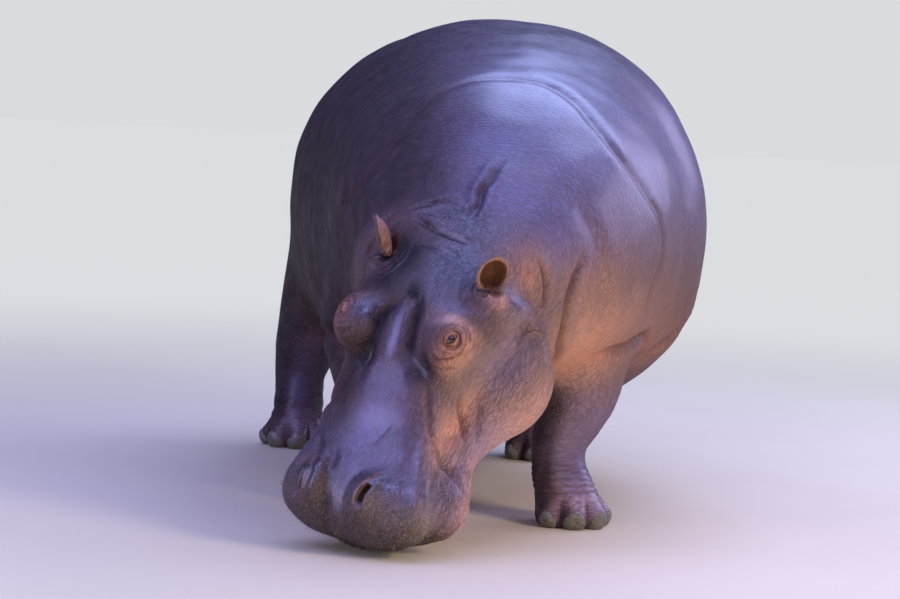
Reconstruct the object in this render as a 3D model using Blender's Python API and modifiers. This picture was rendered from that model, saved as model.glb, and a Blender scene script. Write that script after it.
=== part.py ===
"""A common hippopotamus, life size, standing with its head lowered to graze.

Metres, +Z up. The animal faces -Y, so its left side is at +X. Its flesh is one form, made of lofts
and rounded masses that are fused together, and thin cuts then part that form into head, jaw, neck,
trunk, legs and feet. Ears, eyes, nails and tail are shaped alone and set into the flesh.
"""

import math

import bmesh
import bpy
import numpy as np
from mathutils import Euler, Matrix, Vector

# ---- driving dimensions ----
BACK_HEIGHT = 1.44  # highest point of the back
BARREL_WIDTH = 1.26  # at the widest part of the belly
EYE_SPACING = 0.330  # between the middles of the eyeballs
MUZZLE_WIDTH = 0.46
FOOT_WIDTH = 0.235
WRIST_WIDTH = 0.16
EYE_RADIUS = 0.021
EAR_LENGTH = 0.124
EAR_WIDTH = 0.092
EAR_ROOTS = {1: Vector((0.178, 0.190, -0.030)), -1: Vector((-0.186, 0.215, -0.038))}  # in the head's own frame
TAIL_LENGTH = 0.42
GAP = 0.0006  # between parts that meet
NAIL_CLEARANCE = 0.0012  # of the nails above the floor

# ---- how the head is carried ----
EYES_AT = Vector((-0.125, -0.65, 0.588))  # midway between the eyes
HEAD_YAW = math.radians(-47)
HEAD_PITCH = math.radians(60)
HEAD_ROLL = math.radians(16)

# ---- where each foot stands, how far it turns out in degrees ----
FEET = {
    "forefoot_left": (0.372, 0.0, 30),
    "forefoot_right": (-0.205, 0.10, -12),
    "hindfoot_left": (0.302, 1.40, 22),
    "hindfoot_right": (-0.484, 1.40, -18),
}
TOE_ANGLES = (-66, -22, 22, 66)  # of the four toes, from straight ahead
ANKLE_HEIGHT = 0.112

# ---- resolution ----
VOXEL = 0.014
EVEN_TRIANGLES = 6000
FLESH_TRIANGLES = 3000
HEAD_MIDDLE = Vector((0, -0.13, -0.15))  # in the head's own frame
HEAD_REACH = 0.42  # of the finely meshed flesh around it
MERGE_DISTANCE = 0.00002  # for the slivers that a cut leaves
SHARP_ANGLE = math.radians(35)

COLOURS = {  # base colour, roughness
    "hide": ((0.36, 0.22, 0.21), 0.4),
    "ear_skin": ((0.42, 0.22, 0.19), 0.5),
    "nail": ((0.30, 0.32, 0.27), 0.45),
    "eye": ((0.05, 0.03, 0.02), 0.1),
}


# ------------------------------------------------------------------ scene and materials
def clear_scene():
    for obj in list(bpy.data.objects):
        bpy.data.objects.remove(obj)


def new_collection(name):
    collection = bpy.data.collections.new(name)
    bpy.context.scene.collection.children.link(collection)
    return collection


def new_material(name):
    colour, roughness = COLOURS[name]
    material = bpy.data.materials.new(name)
    material.use_nodes = True
    shader = material.node_tree.nodes["Principled BSDF"]
    shader.inputs["Base Color"].default_value = (*colour, 1)
    shader.inputs["Roughness"].default_value = roughness
    return material


# ------------------------------------------------------------------ meshes
def to_mesh(bm, name):
    """The bmesh as a mesh, its faces pointing out."""
    bmesh.ops.recalc_face_normals(bm, faces=bm.faces)
    mesh = bpy.data.meshes.new(name)
    bm.to_mesh(mesh)
    bm.free()
    return mesh


def joined(meshes, name):
    """Several closed meshes in one, still overlapping."""
    bm = bmesh.new()
    for mesh in meshes:
        bm.from_mesh(mesh)
        bpy.data.meshes.remove(mesh)
    return to_mesh(bm, name)


def placed(mesh, matrix):
    mesh.transform(matrix)
    return mesh


def ball(centre, radii, turn=(0, 0, 0), segments=24, rings=16):
    """An ellipsoid, turned by Euler degrees."""
    bm = bmesh.new()
    angles = Euler([math.radians(angle) for angle in turn])
    matrix = Matrix.LocRotScale(Vector(centre), angles, Vector(radii))
    bmesh.ops.create_uvsphere(bm, u_segments=segments, v_segments=rings, radius=1, matrix=matrix)
    return to_mesh(bm, "ball")


def box(near, far, grow=0.0):
    """A box between two opposite corners, grown on all sides."""
    near = Vector(near) - Vector((grow, grow, grow))
    far = Vector(far) + Vector((grow, grow, grow))
    bm = bmesh.new()
    matrix = Matrix.LocRotScale((near + far) / 2, None, far - near)
    bmesh.ops.create_cube(bm, size=1, matrix=matrix)
    return to_mesh(bm, "box")


def eased(rows, steps):
    """Rows of numbers with Catmull-Rom values filled in, steps to each span."""
    rows = np.array(rows, float)
    padded = np.vstack([2 * rows[0] - rows[1], rows, 2 * rows[-1] - rows[-2]])
    filled = []
    for a, b, c, d in zip(padded, padded[1:], padded[2:], padded[3:]):
        for t in np.arange(steps) / steps:
            bend = (2 * a - 5 * b + 4 * c - d) * t**2 + (3 * b - a - 3 * c + d) * t**3
            filled.append(b + 0.5 * ((c - a) * t + bend))
    filled.append(rows[-1])
    return np.array(filled)


def ring(wide, above, below, power, sides):
    """A superellipse outline as (across, up) pairs, with its own half heights above and below."""
    for angle in np.arange(sides) * 2 * math.pi / sides:
        c, s = math.cos(angle), math.sin(angle)
        tall = above if s > 0 else below
        yield math.copysign(abs(c) ** (2 / power), c) * wide, math.copysign(abs(s) ** (2 / power), s) * tall


def loft(sections, up=(0, 0, 1), sides=24, steps=4, grow=0.0):
    """A closed skin over sections of x, y, z, half width, half height above and below, power."""
    rows = eased(sections, steps)
    ways = np.gradient(rows[:, :3], axis=0)
    ways /= np.linalg.norm(ways, axis=1)[:, None]
    rows[0, :3] -= grow * ways[0]
    rows[-1, :3] += grow * ways[-1]
    bm = bmesh.new()
    loops = []
    for (x, y, z, wide, above, below, power), way in zip(rows, ways):
        across = Vector(way).cross(Vector(up)).normalized()
        upright = across.cross(Vector(way)).normalized()
        outline = ring(wide + grow, above + grow, below + grow, power, sides)
        loops.append([bm.verts.new(Vector((x, y, z)) + across * a + upright * b) for a, b in outline])
    for near, far in zip(loops, loops[1:]):
        for k in range(sides):
            after = (k + 1) % sides
            bm.faces.new((near[k], near[after], far[after], far[k]))
    bm.faces.new(loops[0][::-1])
    bm.faces.new(loops[-1])
    return to_mesh(bm, "loft")


# ------------------------------------------------------------------ modifiers
def evaluated(obj):
    """The object's mesh as its modifiers leave it."""
    graph = bpy.context.evaluated_depsgraph_get()
    graph.update()
    return bpy.data.meshes.new_from_object(obj.evaluated_get(graph))


def applied(mesh, steps):
    """The mesh after some modifiers, each given as (type, settings)."""
    obj = bpy.data.objects.new("work", mesh)
    bpy.context.scene.collection.objects.link(obj)
    for kind, settings in steps:
        modifier = obj.modifiers.new(kind, kind)
        for key, value in settings.items():
            setattr(modifier, key, value)
    result = evaluated(obj)
    bpy.data.objects.remove(obj)
    return result


def cut(mesh, cutter, operation):
    """An exact Boolean of two meshes, with stray slivers merged away."""
    other = bpy.data.objects.new("cutter", cutter)
    bpy.context.scene.collection.objects.link(other)
    result = applied(mesh, [("BOOLEAN", {"object": other, "operation": operation, "solver": "EXACT"})])
    bpy.data.objects.remove(other)
    bm = bmesh.new()
    bm.from_mesh(result)
    bmesh.ops.remove_doubles(bm, verts=bm.verts, dist=MERGE_DISTANCE)
    bmesh.ops.dissolve_degenerate(bm, edges=bm.edges, dist=MERGE_DISTANCE)
    bm.to_mesh(result)
    bm.free()
    return result


# ------------------------------------------------------------------ head
def head_frame():
    """From the head's own frame, origin between the eyes, -Y to the muzzle and +Z out of the forehead."""
    turn = Matrix.Rotation(HEAD_YAW, 4, "Z") @ Matrix.Rotation(HEAD_PITCH, 4, "X")
    return Matrix.Translation(EYES_AT) @ turn @ Matrix.Rotation(HEAD_ROLL, 4, "Y")


def upper_head():
    lip = MUZZLE_WIDTH / 2
    return loft([
        (0, 0.32, -0.12, 0.13, 0.08, 0.12, 2.2),  # back of the skull
        (0, 0.25, -0.10, 0.185, 0.09, 0.19, 2.3),
        (0, 0.12, -0.10, 0.222, 0.112, 0.20, 2.4),  # cheek bones
        (0, 0.00, -0.10, 0.200, 0.104, 0.18, 2.4),  # forehead, between the eyes
        (0, -0.10, -0.11, 0.172, 0.084, 0.15, 2.5),
        (0, -0.20, -0.12, 0.158, 0.055, 0.14, 2.6),  # the narrow of the snout
        (0, -0.30, -0.13, 0.80 * lip, 0.060, 0.13, 2.6),
        (0, -0.38, -0.135, 0.95 * lip, 0.075, 0.13, 2.5),
        (0, -0.45, -0.14, lip, 0.078, 0.135, 2.4),  # upper lip
        (0, -0.505, -0.155, 0.86 * lip, 0.065, 0.12, 2.3),
        (0, -0.54, -0.16, 0.50 * lip, 0.04, 0.08, 2.0),
    ])


def lower_head():
    lip = MUZZLE_WIDTH / 2
    return loft([
        (0, 0.26, -0.30, 0.16, 0.14, 0.12, 2.2),  # throat
        (0, 0.13, -0.31, 0.232, 0.19, 0.175, 2.3),
        (0, -0.02, -0.30, 0.242, 0.17, 0.175, 2.4),  # jowls
        (0, -0.14, -0.275, 0.205, 0.12, 0.135, 2.5),
        (0, -0.25, -0.265, 0.93 * lip, 0.10, 0.082, 2.5),
        (0, -0.33, -0.275, 1.07 * lip, 0.10, 0.086, 2.5),  # lower lip, outside the upper one
        (0, -0.41, -0.285, 0.98 * lip, 0.07, 0.076, 2.3),
        (0, -0.475, -0.285, 0.60 * lip, 0.045, 0.050, 2.0),
    ])


def head_mounds(side):
    """The bulges of one side: 1 is left, -1 is right."""
    return [
        ball((side * (EYE_SPACING / 2 - 0.018), 0.008, -0.010), (0.070, 0.084, 0.062)),  # eye mound
        ball((side * 0.165, 0.13, -0.10), (0.078, 0.14, 0.085)),  # cheek bone
        ball((side * 0.080, -0.44, -0.072), (0.050, 0.068, 0.050)),  # nostril
        ball((side * 0.160, 0.05, -0.325), (0.102, 0.155, 0.152)),  # jowl
    ]


# ------------------------------------------------------------------ body
def trunk():
    """Fused flesh from the back of the head to the rump, bent a little to the animal's right."""
    half = BARREL_WIDTH / 2
    rows = [  # y, x, top and bottom as parts of the back height, half width as a part of the barrel's
        (-0.56, -0.02, 0.51, 0.40, 0.18),
        (-0.50, 0.01, 0.58, 0.37, 0.32),
        (-0.38, 0.045, 0.67, 0.33, 0.46),
        (-0.24, 0.075, 0.75, 0.30, 0.59),
        (-0.06, 0.11, 0.825, 0.28, 0.71),
        (0.14, 0.135, 0.885, 0.27, 0.79),
        (0.36, 0.15, 0.93, 0.23, 0.86),
        (0.60, 0.16, 0.975, 0.165, 0.96),
        (0.86, 0.155, 1.00, 0.145, 1.00),
        (1.12, 0.085, 0.995, 0.165, 0.98),
        (1.36, 0.00, 0.980, 0.23, 0.90),
        (1.58, -0.05, 0.935, 0.33, 0.76),
        (1.76, -0.075, 0.85, 0.43, 0.54),
        (1.86, -0.085, 0.74, 0.54, 0.28),
    ]
    sections = []
    for y, x, top, bottom, wide in rows:
        middle = 0.47 * top + 0.53 * bottom
        above = (top - middle) * BACK_HEIGHT
        below = (middle - bottom) * BACK_HEIGHT
        sections.append((x, y, middle * BACK_HEIGHT, wide * half, above, below, 2.15))
    return loft(sections, sides=32, steps=5)


def shoulders_and_hips():
    return [
        ball((0.36, 0.12, 0.78), (0.20, 0.27, 0.34), (0, 14, 0)),
        ball((-0.17, 0.20, 0.78), (0.20, 0.27, 0.34), (0, -14, 0)),
        ball((0.24, 1.42, 0.82), (0.22, 0.36, 0.40), (0, 10, -12)),
        ball((-0.30, 1.42, 0.78), (0.20, 0.34, 0.36), (0, -10, 12)),
    ]


def foreleg(foot):
    x, y, _ = FEET[foot]
    out = math.copysign(1, x)
    wrist = WRIST_WIDTH / 2
    return loft([
        (x, y, -0.02, 0.40 * FOOT_WIDTH, 0.095, 0.105, 2.2),
        (x, y, 0.03, 0.42 * FOOT_WIDTH, 0.100, 0.108, 2.2),
        (x - 0.012 * out, y + 0.01, 0.09, 0.38 * FOOT_WIDTH, 0.095, 0.100, 2.2),
        (x - 0.033 * out, y + 0.02, 0.15, wrist, 0.090, 0.098, 2.1),
        (x - 0.037 * out, y + 0.03, 0.24, 0.98 * wrist, 0.092, 0.102, 2.1),
        (x + 0.01 * out, y + 0.05, 0.36, 1.4 * wrist, 0.115, 0.13, 2.1),
        (x + 0.01 * out, y + 0.09, 0.49, 2.0 * wrist, 0.16, 0.19, 2.1),
        (x + 0.00 * out, y + 0.10, 0.66, 2.1 * wrist, 0.20, 0.22, 2.1),
        (x - 0.04 * out, y + 0.10, 0.86, 1.9 * wrist, 0.20, 0.20, 2.0),
    ], up=(0, -1, 0))


def hindleg(foot):
    x, y, _ = FEET[foot]
    out = math.copysign(1, x)
    ankle = WRIST_WIDTH / 2
    return loft([
        (x, y, -0.02, 0.39 * FOOT_WIDTH, 0.092, 0.100, 2.2),
        (x, y, 0.03, 0.41 * FOOT_WIDTH, 0.096, 0.102, 2.2),
        (x, y + 0.01, 0.09, 0.37 * FOOT_WIDTH, 0.090, 0.098, 2.2),
        (x, y + 0.02, 0.16, ankle, 0.085, 0.090, 2.1),
        (x, y + 0.04, 0.25, 1.05 * ankle, 0.090, 0.100, 2.1),
        (x - 0.03 * out, y + 0.03, 0.38, 1.5 * ankle, 0.15, 0.14, 2.1),
        (x - 0.09 * out, y + 0.02, 0.54, 2.1 * ankle, 0.22, 0.22, 2.1),
        (x - 0.15 * out, y + 0.02, 0.74, 2.5 * ankle, 0.26, 0.26, 2.0),
    ], up=(0, -1, 0))


def toe_frame(foot, angle):
    """From a toe's own frame, origin on the floor under the foot's middle and -Y out along the toe."""
    x, y, turn = FEET[foot]
    return Matrix.Translation((x, y, 0)) @ Matrix.Rotation(math.radians(angle + turn), 4, "Z")


def toes(foot):
    shapes = []
    for angle in TOE_ANGLES:
        small = 0.9 if abs(angle) > 40 else 1.0
        toe = ball((0, -0.072, 0.040), (0.040 * small, 0.050, 0.052 * small), (14, 0, 0))
        shapes.append(placed(toe, toe_frame(foot, angle)))
    return shapes


def nail(foot, angle, grow=0.0):
    """A broad hoof-like nail, its lower edge just clear of the floor."""
    small = 0.86 if abs(angle) > 40 else 1.0
    radii = (0.034 * small + grow, 0.021 + grow, 0.036 * small + grow)
    shape = ball((0, -0.103, 0.024), radii, (26, 0, 0), segments=8, rings=6)
    floor = box((-0.1, -0.2, -0.1), (0.1, 0.0, NAIL_CLEARANCE - grow))
    return placed(cut(shape, floor, "DIFFERENCE"), toe_frame(foot, angle))


def flesh():
    """The whole animal but its ears, eyes, nails and tail, in one closed form on flat soles."""
    head = joined([upper_head(), lower_head(), *head_mounds(1), *head_mounds(-1)], "head")
    legs = [foreleg(foot) if foot.startswith("fore") else hindleg(foot) for foot in FEET]
    for foot in FEET:
        legs.extend(toes(foot))
    masses = joined([placed(head, head_frame()), trunk(), *shoulders_and_hips(), *legs], "masses")
    fused = applied(masses, [
        ("REMESH", {"mode": "VOXEL", "voxel_size": VOXEL}),
        ("SMOOTH", {"factor": 0.5, "iterations": 9}),
    ])
    standing = cut(fused, box((-2, -2, -1), (2, 3, 0)), "DIFFERENCE")
    return thinned(standing)


def thinned(mesh):
    """The mesh in fewer triangles: evenly at first, then on the trunk and the legs alone."""
    obj = bpy.data.objects.new("thinned", mesh)
    bpy.context.scene.collection.objects.link(obj)
    plain = obj.vertex_groups.new(name="plain")
    to_head = head_frame().inverted()
    for vertex in mesh.vertices:
        at = to_head @ vertex.co - HEAD_MIDDLE
        clear = at.length > HEAD_REACH and vertex.co.z > ANKLE_HEIGHT
        plain.add([vertex.index], float(clear), "REPLACE")
    triangles = sum(len(face.vertices) - 2 for face in mesh.polygons)
    evenly = obj.modifiers.new("evenly", "DECIMATE")
    evenly.ratio = EVEN_TRIANGLES / triangles
    trunk_only = obj.modifiers.new("trunk_only", "DECIMATE")
    trunk_only.ratio = FLESH_TRIANGLES / EVEN_TRIANGLES
    trunk_only.vertex_group = "plain"
    result = evaluated(obj)
    bpy.data.objects.remove(obj)
    return result


# ------------------------------------------------------------------ pieces set into the flesh
def ear_frame(side):
    """From an ear's own frame, origin at its root, +Z to its tip and -Y out of its cup."""
    tip = Vector((side * 0.24, 0.66, 0.71)).normalized()
    open_way = Vector((side * 0.80, -0.55, 0.24))
    open_way = (open_way - tip * open_way.dot(tip)).normalized()
    turn = Matrix(((-open_way).cross(tip), -open_way, tip)).transposed().to_4x4()
    return head_frame() @ Matrix.Translation(EAR_ROOTS[side]) @ turn


def ear_outside(grow=0.0):
    half, long = EAR_WIDTH / 2, EAR_LENGTH / 2
    blade = ball((0, 0.008, 0.045), (half + grow, 0.026 + grow, long + grow), segments=12, rings=8)
    root = ball((0, 0.010, 0.004), (0.026 + grow, 0.024 + grow, 0.036 + grow), segments=10, rings=6)
    return cut(blade, root, "UNION")


def ear(side):
    half, long = EAR_WIDTH / 2, EAR_LENGTH / 2
    hollow = ball((0, -0.014, 0.048), (0.74 * half, 0.034, 0.76 * long), segments=12, rings=8)
    return placed(cut(ear_outside(), hollow, "DIFFERENCE"), ear_frame(side))


def eyeball(side, grow=0.0):
    middle = Vector((side * EYE_SPACING / 2, 0.014, 0.028))
    radius = EYE_RADIUS + grow
    return placed(ball(middle, (radius, radius, radius), segments=14, rings=8), head_frame())


def tail(grow=0.0):
    """Rooted in the rump, then hanging, and flattened from side to side towards its tip."""
    x, y, drop = -0.082, 1.84, TAIL_LENGTH
    return loft([
        (x, y - 0.07, 1.06, 0.050, 0.050, 0.050, 2.0),
        (x, y + 0.01, 1.045, 0.046, 0.048, 0.048, 2.0),
        (x, y + 0.065, 0.99, 0.040, 0.042, 0.042, 2.0),
        (x, y + 0.085, 1.03 - 0.35 * drop, 0.034, 0.032, 0.032, 2.0),
        (x, y + 0.080, 1.03 - 0.70 * drop, 0.030, 0.022, 0.022, 2.0),
        (x, y + 0.075, 1.03 - 0.92 * drop, 0.026, 0.015, 0.015, 2.0),
        (x, y + 0.075, 1.03 - drop, 0.014, 0.009, 0.009, 2.0),
    ], up=(1, 0, 0), sides=10, steps=2, grow=grow)


# ------------------------------------------------------------------ cuts through the flesh
def head_block(grow):
    """All in front of a plane from the poll down to the throat."""
    slant = Matrix.Translation((0, 0.29, 0)) @ Matrix.Rotation(math.radians(-18), 4, "X")
    return placed(box((-0.40, -1.0, -0.58), (0.40, 0, 0.20), grow), head_frame() @ slant)


def jaw_block(grow):
    """All of the head below the line of the mouth, forward of its corners."""
    slant = Matrix.Translation((0, -0.02, -0.225)) @ Matrix.Rotation(math.radians(5), 4, "X")
    return placed(box((-0.40, -0.8, -0.5), (0.40, 0, 0), grow), head_frame() @ slant)


def neck_block(grow):
    slant = Matrix.Translation((0, -0.14, 0.6)) @ Matrix.Rotation(math.radians(-8), 4, "X")
    return placed(box((-0.7, -0.9, -0.3), (0.7, 0, 0.8), grow), slant)


def leg_block(foot, grow):
    """The leg up to a slanting plane that rises outward and, at the hind leg, backward."""
    x, y, _ = FEET[foot]
    out = math.copysign(1, x)
    fore = foot.startswith("fore")
    lean = Matrix.Rotation(math.radians(-25 * out), 4, "Y")
    tip = Matrix.Rotation(math.radians(0 if fore else 20), 4, "X")
    top = Matrix.Translation((x, y, 0.43 if fore else 0.40))
    inner, outer = -0.27 * out, 0.26 * out
    near = (min(inner, outer), -0.24, -0.7)
    far = (max(inner, outer), 0.28, 0)
    return placed(box(near, far, grow), top @ lean @ tip)


def foot_block(foot, grow):
    x, y, _ = FEET[foot]
    return box((x - 0.25, y - 0.25, -0.1), (x + 0.25, y + 0.25, ANKLE_HEIGHT), grow)


def parted(mesh, block):
    """The two sides of a cut, the inside of the block first. block(grow) makes the block."""
    inside = cut(mesh.copy(), block(0.0), "INTERSECT")
    return inside, cut(mesh, block(GAP), "DIFFERENCE")


def stand_on_origin(meshes):
    """Moves the meshes together, so that the middle of their bounding box is at x = 0, y = 0."""
    corners = np.array([vertex.co for mesh in meshes for vertex in mesh.vertices])
    middle = (corners.min(axis=0) + corners.max(axis=0)) / 2
    shift = Vector((-middle[0], -middle[1], 0))
    for mesh in meshes:
        mesh.transform(Matrix.Translation(shift))
    return shift


def main():
    clear_scene()
    collection = new_collection("hippopotamus")
    materials = {name: new_material(name) for name in COLOURS}
    pieces = {}
    pieces["head"], rest = parted(flesh(), head_block)
    for foot in FEET:
        leg = foot.replace("foot", "leg")
        pieces[foot], rest = parted(rest, lambda grow: foot_block(foot, grow))
        pieces[leg], rest = parted(rest, lambda grow: leg_block(foot, grow))
        for number, angle in enumerate(TOE_ANGLES, 1):
            pieces[f"nail_{foot}_{number}"] = nail(foot, angle)
            pieces[foot] = cut(pieces[foot], nail(foot, angle, GAP), "DIFFERENCE")
    pieces["neck"], pieces["trunk"] = parted(rest, neck_block)
    pieces["trunk"] = cut(pieces["trunk"], tail(GAP), "DIFFERENCE")
    pieces["tail"] = tail()
    for side, name in ((1, "left"), (-1, "right")):
        pieces[f"ear_{name}"] = ear(side)
        pieces[f"eye_{name}"] = eyeball(side)
        socket = placed(ear_outside(GAP), ear_frame(side))
        pieces["head"] = cut(pieces["head"], socket, "DIFFERENCE")
        pieces["head"] = cut(pieces["head"], eyeball(side, GAP), "DIFFERENCE")
    pieces["jaw"], pieces["head"] = parted(pieces["head"], jaw_block)
    shift = stand_on_origin(list(pieces.values()))
    for name, mesh in pieces.items():
        mesh.name = name
        kind = name.split("_")[0]
        mesh.materials.clear()
        mesh.materials.append(materials[{"ear": "ear_skin", "nail": "nail", "eye": "eye"}.get(kind, "hide")])
        mesh.shade_smooth()
        mesh.set_sharp_from_angle(angle=SHARP_ANGLE)
        collection.objects.link(bpy.data.objects.new(name, mesh))
    print("moved by", tuple(round(value, 4) for value in shift))


main()
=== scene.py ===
import math

import bmesh
import bpy
import numpy as np
from mathutils import Matrix, Vector, noise
from mathutils.bvhtree import BVHTree


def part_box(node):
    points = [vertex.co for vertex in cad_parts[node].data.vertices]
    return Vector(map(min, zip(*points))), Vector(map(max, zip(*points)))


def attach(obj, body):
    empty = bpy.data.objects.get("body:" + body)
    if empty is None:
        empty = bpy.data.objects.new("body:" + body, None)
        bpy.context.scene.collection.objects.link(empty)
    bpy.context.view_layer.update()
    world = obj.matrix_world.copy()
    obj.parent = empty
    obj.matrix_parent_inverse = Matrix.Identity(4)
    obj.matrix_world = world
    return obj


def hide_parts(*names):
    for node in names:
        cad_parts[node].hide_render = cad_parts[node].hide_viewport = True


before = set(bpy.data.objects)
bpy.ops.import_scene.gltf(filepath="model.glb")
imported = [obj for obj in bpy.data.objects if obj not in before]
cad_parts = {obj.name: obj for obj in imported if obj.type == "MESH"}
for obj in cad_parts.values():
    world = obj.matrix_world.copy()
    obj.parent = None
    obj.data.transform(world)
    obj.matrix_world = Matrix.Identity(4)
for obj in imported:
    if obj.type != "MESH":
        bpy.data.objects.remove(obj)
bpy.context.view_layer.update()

feet = ["forefoot_left", "forefoot_right", "hindfoot_left", "hindfoot_right"]
legs = [foot.replace("foot", "leg") for foot in feet]
fleshNodes = ["head", "jaw", "neck", "trunk"] + legs + feet


def nodeMiddle(node):
    low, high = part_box(node)
    return (Vector(low) + Vector(high)) / 2


# the head's own frame: its origin is between the eyes, -Y points to the muzzle, +Z out of the forehead
# and +X to the animal's left
headPlan = {"yaw": -47, "pitch": 60, "roll": 16, "eyeBack": 0.014, "eyeUp": 0.028}


def makeHeadFrame():
    turn = Matrix.Rotation(math.radians(headPlan["yaw"]), 4, "Z")
    turn = turn @ Matrix.Rotation(math.radians(headPlan["pitch"]), 4, "X")
    turn = turn @ Matrix.Rotation(math.radians(headPlan["roll"]), 4, "Y")
    between = (nodeMiddle("eye_left") + nodeMiddle("eye_right")) / 2
    origin = between - turn.to_3x3() @ Vector((0, headPlan["eyeBack"], headPlan["eyeUp"]))
    return Matrix.Translation(origin) @ turn


headFrame = makeHeadFrame()
headTurn = np.array(headFrame.to_3x3())
headOrigin = np.array(headFrame.translation)


def inHead(points):  # world points as points of the head's frame
    return (points - headOrigin) @ headTurn


def fromHead(points):
    return np.array(points) @ headTurn.T + headOrigin


def smoothStep(value, low, high):
    t = np.clip((value - low) / (high - low), 0, 1)
    return t * t * (3 - 2 * t)


def bell(value, middle, width):  # 1 at the middle, fading away on both sides
    return np.exp(-(((value - middle) / width) ** 2))


def distanceTo(points, spot):
    return np.linalg.norm(points - spot, axis=1)


def mirrored(side, place):  # 1 is the animal's left side, where places are given, and -1 its right
    return np.array((side * place[0], *place[1:]))


def meshPoints(mesh, field="co"):
    values = np.empty(len(mesh.vertices) * 3)
    mesh.vertices.foreach_get(field, values)
    return values.reshape(-1, 3)


def setPoints(mesh, points):
    mesh.vertices.foreach_set("co", points.ravel())
    mesh.update()


def relaxed(mesh, values, weight, rounds):  # each value drawn towards the mean of its neighbours
    ends = np.empty(len(mesh.edges) * 2, int)
    mesh.edges.foreach_get("vertices", ends)
    a, b = ends.reshape(-1, 2).T
    count = len(values)
    degree = np.bincount(a, minlength=count) + np.bincount(b, minlength=count)
    values = values.copy()
    for _ in range(rounds):
        for axis in range(values.shape[1]):
            column = values[:, axis]
            total = np.bincount(a, column[b], count) + np.bincount(b, column[a], count)
            values[:, axis] = column + weight * (total / degree - column)
    return values


def fairSkin(mesh, weight, rounds):  # smooths facets away and puts the lost volume back
    points = meshPoints(mesh)
    first = relaxed(mesh, points, weight, rounds)
    setPoints(mesh, first + relaxed(mesh, points - first, weight, rounds))


def throughPoints(points, steps=8):  # a Catmull-Rom curve
    points = np.array(points, float)
    padded = np.vstack([2 * points[0] - points[1], points, 2 * points[-1] - points[-2]])
    curve = []
    for a, b, c, d in zip(padded, padded[1:], padded[2:], padded[3:]):
        for t in np.arange(steps) / steps:
            bend = (2 * a - 5 * b + 4 * c - d) * t**2 + (3 * b - a - 3 * c + d) * t**3
            curve.append(b + 0.5 * ((c - a) * t + bend))
    curve.append(points[-1])
    return np.array(curve)


def alongCurve(points, curve, reach):  # offset from a curve, part of its length, and its direction there
    low, high = curve.min(axis=0) - reach, curve.max(axis=0) + reach
    near = np.where(((points > low) & (points < high)).all(axis=1))[0]
    distance = np.full(len(points), 9.0)
    offset = np.full((len(points), 3), 9.0)
    part = np.zeros(len(points))
    way = np.tile([1.0, 0, 0], (len(points), 1))
    starts, steps = curve[:-1], np.diff(curve, axis=0)
    lengths = np.linalg.norm(steps, axis=1)
    before = np.concatenate([[0], np.cumsum(lengths)])
    at = points[near]
    for start, step, length, done in zip(starts, steps, lengths, before):
        t = np.clip((at - start) @ step / length**2, 0, 1)
        apart = at - start - t[:, None] * step
        gap = np.linalg.norm(apart, axis=1)
        closer = gap < distance[near]
        chosen = near[closer]
        distance[chosen] = gap[closer]
        offset[chosen] = apart[closer]
        part[chosen] = (done + t[closer] * length) / before[-1]
        way[chosen] = step / length
    return offset, part, way


# one closed form from the parts of flesh
skinPlan = {
    "grow": 0.0012,  # closes the thin cuts between the parts
    "voxel": 0.0292,  # of the trunk
    "fineVoxel": 0.009,  # of the form that the head and the feet are drawn onto
    "fairFine": 14,  # rounds of smoothing
    "fairAll": 8,
    "fairTrunk": 45,
    "fairNew": 4,
    "headReach": 0.62,  # of the first refinement, round the head
    "footHeight": 0.30,
    "foldReaches": (0.042, 0.028),  # of the first and the second, along the folds
    "faceReaches": ((0.068, 0.060, 0.060), (0.044, 0.042, 0), (0.026, 0, 0)),  # round eyes, nostrils, ears
    "noiseSeed": 7,  # without it each run has other noise
}
noise.seed_set(skinPlan["noiseSeed"])


def addObject(name, data):
    made = bpy.data.objects.new(name, data)
    bpy.context.scene.collection.objects.link(made)
    return made


def meshFrom(bm, name):
    mesh = bpy.data.meshes.new(name)
    bm.to_mesh(mesh)
    bm.free()
    return mesh


def surfaceTree(mesh, points):  # finds the nearest place on a surface
    polygons = [tuple(face.vertices) for face in mesh.polygons]
    return BVHTree.FromPolygons([Vector(at) for at in points], polygons)


def modified(mesh, kind, **settings):  # the mesh as one modifier leaves it
    work = addObject("work", mesh)
    modifier = work.modifiers.new("work", kind)
    for name, value in settings.items():
        setattr(modifier, name, value)
    graph = bpy.context.evaluated_depsgraph_get()
    result = bpy.data.meshes.new_from_object(work.evaluated_get(graph))
    bpy.data.objects.remove(work)
    return result


def weldedCopy(nodes, grow=0.0):
    bm = bmesh.new()
    for node in nodes:
        bm.from_mesh(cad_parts[node].data)
    bmesh.ops.remove_doubles(bm, verts=bm.verts, dist=0.00001)
    bm.normal_update()
    for vertex in bm.verts:
        vertex.co += vertex.normal * grow
    return meshFrom(bm, "welded")


def fusedFlesh(voxel, rounds):
    filled = [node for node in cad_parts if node.startswith(("nail", "eye"))]
    mesh = weldedCopy(fleshNodes + filled, skinPlan["grow"])
    mesh = modified(mesh, "REMESH", mode="VOXEL", voxel_size=voxel)
    fairSkin(mesh, 0.5, rounds)
    return mesh


def united(mesh, other):
    cutter = addObject("cutter", other)
    result = modified(mesh, "BOOLEAN", object=cutter, operation="UNION", solver="EXACT")
    bpy.data.objects.remove(cutter)
    return result


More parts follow.
